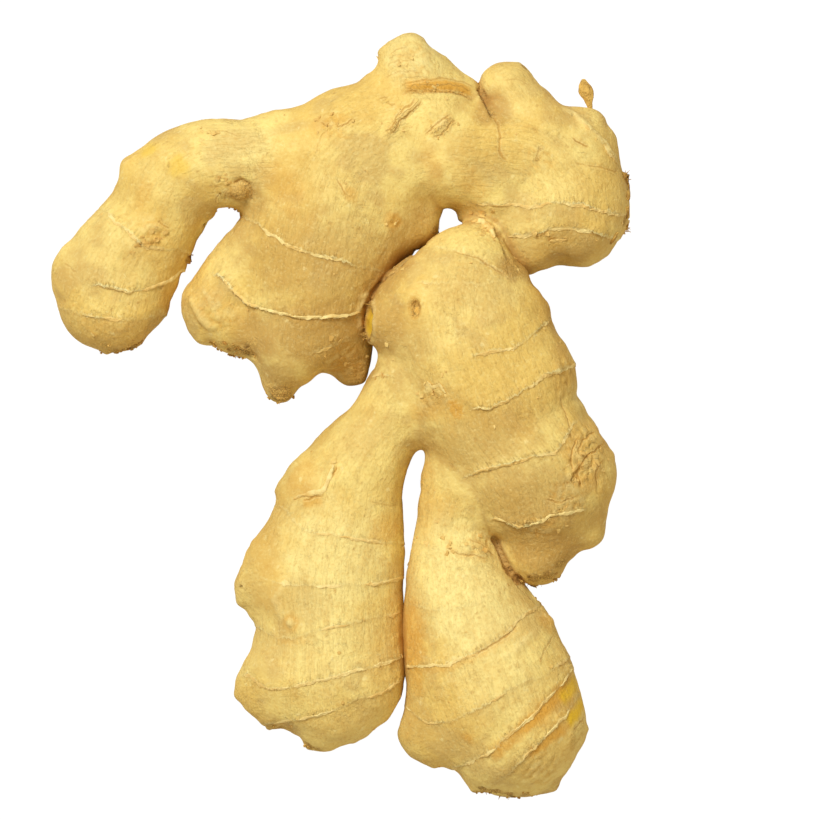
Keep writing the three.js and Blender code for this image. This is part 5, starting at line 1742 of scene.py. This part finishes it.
# each point draws flakes: a little everywhere, more at rings, on dry skin and at dead ends
pull = 0.12 + 1.2 * (np.abs(ring_distance) < 1.6) * ring_power + 0.5 * dryness ** 2 + 1.5 * masks["brown_and_shade"]
pull = np.cumsum(pull * (flesh[:, 2] > 1) * (apart > 1.2))  # but none under it or in a crease
for _ in range(FLAKES):
    chosen = int(np.searchsorted(pull, dice.uniform(0, pull[-1])))
    place, facing = settle(flesh[chosen])
    heading = tangent(facing, dice.uniform(0, 2 * math.pi))
    flakes.append(flake(place, facing, heading, dice.uniform(*FLAKE_SIZE) * dice.uniform(0.6, 1)))
for x, y, count, spread, size in TORN_PLACES:
    for _ in range(count):
        place, facing = settle(on_top(x + dice.gauss(0, spread), y + dice.gauss(0, 0.6 * spread)))
        heading = tangent(facing, dice.uniform(0, 2 * math.pi))
        flakes.append(flake(place, facing, heading, size * dice.uniform(0.5, 1.1)))
model = grid_on(flakes[0], "flake")
copies = [model] + [copy_of(model) for _ in flakes[1:]]
first = flakes[0].reshape(-1, 3)
order = np.array([np.linalg.norm(first - p, axis=1).argmin() for p in read_points(model)])
for copy, rows_of_flake in zip(copies, flakes):
    write_points(copy, rows_of_flake.reshape(-1, 3)[order])
skin_flakes = join(copies, "skin_flakes")
thicken(skin_flakes, PAPER_THICKNESS)
dress(skin_flakes, loose_paper)
print(len(flakes), "flakes,", len(skin_flakes.data.polygons), "faces")

# %% [markdown]
# ## Dead roots and their fibres
#
# A few roots and buds have dried to short stumps. Each is a cone, drawn out ring by ring from a circle
# and roughened. Where a finger or a stump broke, its fibres stick out as a tuft of fine bristles.

# %% Stumps
STUMPS = [  # base, tip, radius at the base and at the tip: as in the solid
    ((-38.6, 37.6, 14), (-35.8, 37.9, 14), 1.5, 0.9), ((20.5, 44.6, 15), (23.6, 44.9, 15), 1.9, 1.1),
    ((-24.4, 54, 18), (-24.9, 50.6, 17), 2.5, 1.8), ((65.8, 57.5, 15), (69.2, 57.2, 15.5), 1.8, 0.9),
    ((64.5, 46.5, 14), (68.6, 45.3, 14), 1.8, 1), ((47.5, -37.5, 16), (46.2, -40.8, 16), 2, 1.1),
]
STUMP_SIDES = 22
STUMP_RINGS = 9


def draw_out(sections, sides, name):
    """A circle extruded through a row of (centre, radius) sections and closed at both ends."""
    deselect()
    bpy.ops.mesh.primitive_circle_add(vertices=sides, radius=1, fill_type="NGON")
    piece = bpy.context.object
    piece.name = name
    bpy.ops.object.mode_set(mode="EDIT")
    for _ in sections[1:]:
        bpy.ops.mesh.extrude_region_move(TRANSFORM_OT_translate={"value": (0, 0, 1)})
    bpy.ops.mesh.select_all(action="SELECT")
    bpy.ops.mesh.normals_make_consistent(inside=False)
    bpy.ops.object.mode_set(mode="OBJECT")
    upright = read_points(piece) * MM
    level = np.rint(upright[:, 2]).astype(int)
    centres, radii = (np.array(column, float) for column in zip(*sections))
    forward = np.gradient(centres, axis=0)
    forward /= np.linalg.norm(forward, axis=1)[:, None]
    sideways = np.cross(forward, [0.2, 0.1, 0.97])
    sideways /= np.linalg.norm(sideways, axis=1)[:, None]
    other = np.cross(forward, sideways)
    turned = upright[:, :1] * sideways[level] + upright[:, 1:2] * other[level]
    write_points(piece, centres[level] + turned * radii[level][:, None])
    return piece


def drawn_stump(base, tip, wide, narrow):
    base, tip = np.array(base, float), np.array(tip, float)
    sections = []
    for share in np.linspace(0, 1, STUMP_RINGS):
        radius = wide + (narrow - wide) * share
        sections.append((base + (tip - base) * share, radius * (1.06 if 0.75 < share < 1 else 1)))
    sections.append((tip - 0.25 * (tip - base), 0.55 * narrow))  # the broken end is hollow
    piece = draw_out(sections, STUMP_SIDES, "stump")
    rough_points = read_points(piece)
    outward = rough_points - (base + tip) / 2
    outward /= np.linalg.norm(outward, axis=1)[:, None]
    push = 0.42 * wander(rough_points, 1.1, 41) + 0.22 * wander(rough_points, 0.5, 42)
    write_points(piece, rough_points + outward * push[:, None])
    return piece


stumps = join([drawn_stump(*stump) for stump in STUMPS], "root_stumps")
edit_all(stumps, bpy.ops.mesh.normals_make_consistent, inside=False)
bpy.ops.object.shade_smooth()
dress(stumps, dead_root)
print(len(STUMPS), "stumps")

# %% Tufts of fibre
TUFTS = [  # x, y, z, spread, how many, length, which way they point
    ((46.4, -38.2, 14), 2.6, 26, 1.5, (-0.1, -1, 0.15)), ((41, -36.6, 13), 1.4, 8, 1.2, (-0.3, -1, 0.1)),
    ((36.8, -90, 12), 3, 14, 0.7, (-0.2, -1, 0.3)), ((44.5, -90.6, 11), 2, 4, 0.6, (0.1, -1, 0.2)),
    ((-52.6, 16, 10), 2.6, 5, 0.6, (-0.2, -1, 0.2)), ((-25.2, 15.6, 11), 2.4, 14, 1.1, (0.2, -1, 0.3)),
    ((-14.4, 4.6, 13), 1.6, 4, 0.8, (0, -1, 0.3)), ((6.2, 26.5, 24), 1.6, 14, 1.6, (-1, 0.3, 0.4)),
    ((6, 19.5, 23), 1.8, 16, 1.5, (-1, -0.2, 0.4)), ((-35.8, 37.9, 14), 0.7, 9, 1, (1, 0, 0.2)),
    ((23.6, 44.9, 15), 0.9, 9, 0.8, (1, 0.3, 0.3)), ((-24.9, 50.8, 17), 1.4, 5, 0.6, (-0.2, -1, 0.2)),
    ((-28.8, 51.8, 18), 1.4, 4, 0.5, (-0.2, -1, 0.5)), ((69, 57.2, 15.5), 1, 12, 1.6, (0.8, 0.7, 0.2)),
    ((68.2, 45.3, 14), 1, 10, 1.3, (0.9, -0.5, 0.1)), ((-6.8, -79.4, 12), 1, 4, 0.7, (0, -1, 0.3)),
]
FIBRE_SIDES = 4
FIBRE_STEPS = 4
dice = random.Random(11)


def fibre_sections(root, heading, length, thick):
    bend = np.array([dice.uniform(-0.5, 0.5) for _ in range(3)])
    sections = []
    for step in range(FIBRE_STEPS + 1):
        share = step / FIBRE_STEPS
        middle = root + heading * length * share + bend * length * share ** 2
        sections.append((middle, thick * (1.05 - 0.85 * share)))
    return sections


bristles = []
for place, spread, count, length, pointing in TUFTS:
    for _ in range(count):
        spot = np.array(place) + [dice.gauss(0, 0.5 * spread) for _ in range(3)]
        sat, facing = settle(spot)
        heading = np.array(pointing, float) + 0.6 * facing + [dice.gauss(0, 0.35) for _ in range(3)]
        heading /= np.linalg.norm(heading)
        root = sat - 0.3 * facing
        sections = fibre_sections(root, heading, length * dice.uniform(0.5, 1.2), dice.uniform(0.09, 0.2))
        bristles.append(draw_out(sections, FIBRE_SIDES, "bristle"))
fibre_tufts = join(bristles, "fibre_tufts")
dress(fibre_tufts, dead_root)
print(len(bristles), "bristles")

# %% [markdown]
# ## Crumbs
#
# Dead flesh doesn't tear, it crumbles. At each broken end small grains stand on the edge and blur the
# outline. They are copies of one coarse ball, flattened, turned and dented, and sunk a third of the way
# into the skin.

# %% Crumbs at the broken ends
CRUMBS = [  # x, y, spread along x and along y, how many, size
    (-51.4, 15.6, 2.4, 0.8, 22, 0.8), (-56.4, 15.6, 1, 0.7, 6, 0.7), (-25, 15.6, 2.4, 1.2, 26, 0.9),
    (-29.4, 18.2, 1.2, 0.7, 8, 0.9), (-14.4, 4.6, 1.8, 1, 14, 0.8), (5, 22.6, 0.5, 3.2, 22, 0.7),
    (44.4, -39, 2.6, 0.7, 26, 0.9), (50.6, -38.2, 1.6, 0.7, 12, 0.8), (36.8, -89.6, 2.6, 0.9, 20, 0.9),
    (44.6, -90.6, 1.4, 0.5, 7, 0.7), (-7.4, -79, 1.2, 0.5, 6, 0.7), (-16.2, -74.4, 0.8, 0.5, 5, 0.7),
    (-25.4, 50.6, 1.8, 0.6, 10, 0.7), (68.6, 57.2, 0.7, 0.7, 7, 0.7), (68.2, 45.8, 0.7, 0.7, 7, 0.7),
]
SUNK = 0.3
dice = random.Random(29)
deselect()
bpy.ops.mesh.primitive_ico_sphere_add(subdivisions=1, radius=1)
model = bpy.context.object
ball = read_points(model) * MM
grains = []
for x, y, spread_x, spread_y, count, size in CRUMBS:
    for _ in range(count):
        spot = (x + dice.gauss(0, spread_x), y + dice.gauss(0, spread_y), WAIST + dice.gauss(0, 3))
        sat, facing = settle(np.array(spot))
        radius = 0.5 * size * dice.uniform(0.6, 1.25)
        turn = np.array([tangent(facing, angle) for angle in (0, math.pi / 2)] + [facing])
        squash = np.array([dice.uniform(0.8, 1.3), dice.uniform(0.6, 1.0), dice.uniform(0.5, 0.9)])
        dented = ball * squash + [[dice.uniform(-0.28, 0.28) for _ in range(3)] for _ in ball]
        grains.append(copy_of(model))
        write_points(grains[-1], sat + (1 - 2 * SUNK) * radius * facing + radius * dented @ turn)
bpy.data.objects.remove(model)
dead_crumbs = join(grains, "dead_crumbs")
dress(dead_crumbs, dead_root)
print(len(grains), "crumbs,", len(dead_crumbs.data.polygons), "faces")

# %% [markdown]
# ## Strips of skin
#
# Seven strips have come loose but still hang on: one torn off the lower left finger, three dry curls at
# the right edge, and three by the scars and joints of the bodies. Each is a grid laid along a path, a
# little arched across its width.

# %% Lay the strips
STRIPS = [  # path, half width, lift at its middle, lift of its left side, material
    (
        [(-10.8, -19.9), (-9.6, -19.1), (-7.7, -18.7), (-5.8, -18.2), (-4.3, -18.1), (-3.4, -17),
         (-2.6, -15.1), (-1.9, -13.2), (-1.2, -11.3)],
        0.55, 0.3, 0.1, dry_paper,
    ),
    ([(69.4, 58.8), (69.8, 56.6), (69.2, 54), (68.8, 51.6)], 0.7, 0.3, 0.2, dead_root),
    ([(68.8, 50.2), (69, 48.6), (68.6, 47.2)], 0.5, 0.3, 0.1, dead_root),
    ([(66.4, 44), (65.4, 42.2), (64.6, 41.2)], 0.6, 0.3, 0.1, dead_root),
    ([(31.7, 46.4), (34, 46.7), (35.9, 44.6), (37, 42.4)], 0.6, 0.3, 0.1, dry_paper),
    ([(21, 8.2), (22.2, 6.8), (23.9, 7.4), (25.4, 5.4)], 0.5, 0.3, 0.2, dry_paper),
    ([(50.2, 41.9), (51.8, 42.1), (53.2, 42.2), (54.4, 42.2)], 0.5, 0.3, 0.1, dry_paper),
]
STRIP_STEP = 0.4
STRIP_ACROSS = np.linspace(-1, 1, 5)
dice = random.Random(17)
for number, (path, half, lift, tilt, material) in enumerate(STRIPS):
    path = np.array(path)
    lengths = lengths_along(path)
    stops = np.arange(0, lengths[-1], STRIP_STEP)
    line = np.array([on_top(*place) for place in places_along(path, lengths, stops)])
    places, facing, _ = snap(line)
    ahead = np.gradient(places, axis=0)
    beside = np.cross(facing, ahead)
    beside /= np.linalg.norm(beside, axis=1)[:, None]
    share = np.linspace(0, 1, len(stops))
    slim = half * np.sqrt(np.clip(4 * share * (1 - share), 0.06, 1)) * (1 + 0.7 * wander(places, 1.2, 61))
    spread = places[:, None, :] + beside[:, None, :] * (slim[:, None] * STRIP_ACROSS)[:, :, None]
    spread += np.array([dice.uniform(-0.09, 0.09) for _ in range(spread.size)]).reshape(spread.shape)
    sat, up, _ = snap(spread.reshape(-1, 3))
    across = np.tile(STRIP_ACROSS, (len(stops), 1))
    waves = (1 + 0.7 * wander(places, 1.7, 62))[:, None]
    rise = lift * (1 - 0.5 * across ** 2) * waves + tilt * across
    strip = grid_on((sat + up * rise.reshape(-1, 1)).reshape(spread.shape), "loose_strip_" + str(number + 1))
    thicken(strip, 2 * PAPER_THICKNESS)
    dress(strip, material)
print(len(STRIPS), "strips")

# %% [markdown]
# ## The dry scale
#
# One scale leaf at the right still stands on its stalk: a thin blade like a spoon.

# %% Stand the scale up
SCALE_OUTLINE = [  # y along it, how far left, how far right, how far its middle bows out
    (0, 0.55, 0.55, 0), (1.2, 0.5, 0.5, 0.1), (2.6, 0.5, 0.55, 0.2), (3.8, 0.9, 0.8, 0.35),
    (5, 1.7, 1.4, 0.5), (6.2, 2.1, 1.8, 0.6), (7.4, 1.9, 1.5, 0.5), (8.6, 1.3, 0.7, 0.3),
    (9.4, 0.5, 0.1, 0.1),
]
SCALE_ROOT = np.array([60.4, 71.5, 17])
SCALE_LEAN = 0.18
SCALE_ACROSS = 7
SCALE_THICKNESS = 0.35
dice = random.Random(3)
rows_of_scale = []
for along, left, right, bow in SCALE_OUTLINE:
    row = []
    for j in range(SCALE_ACROSS):
        share = j / (SCALE_ACROSS - 1)
        x = -left + (left + right) * share + dice.uniform(-0.08, 0.08)
        z = 0.9 * bow * (1 - (2 * share - 1) ** 2) + dice.uniform(-0.06, 0.06)
        row.append(SCALE_ROOT + (x - SCALE_LEAN * along, along, z))
    rows_of_scale.append(row)
dry_scale = grid_on(rows_of_scale, "dry_scale")
thicken(dry_scale, SCALE_THICKNESS)
apply_modifier(dry_scale, "SUBSURF", levels=2, render_levels=2)
bpy.ops.object.shade_smooth()
points = read_points(dry_scale)
write_points(dry_scale, points + 0.2 * np.column_stack([wander(points, 1.2, n) for n in (51, 52, 53)]))
dress(dry_scale, dead_root)
print("the scale is", round(float(np.ptp(points[:, 1])), 1), "mm long")

# %% [markdown]
# ## Fewer faces
#
# The even squares of the skin are finer than its flat places need. Now that everything sits on it, its
# mesh is thinned: edges collapse where the skin is flattest, and the relief keeps its points.

# %% Thin out the skin's mesh
KEPT_FACES = 0.68
apply_modifier(skin, "DECIMATE", ratio=KEPT_FACES)
print("the skin has", sum(len(face.vertices) - 2 for face in skin.data.polygons), "triangles")
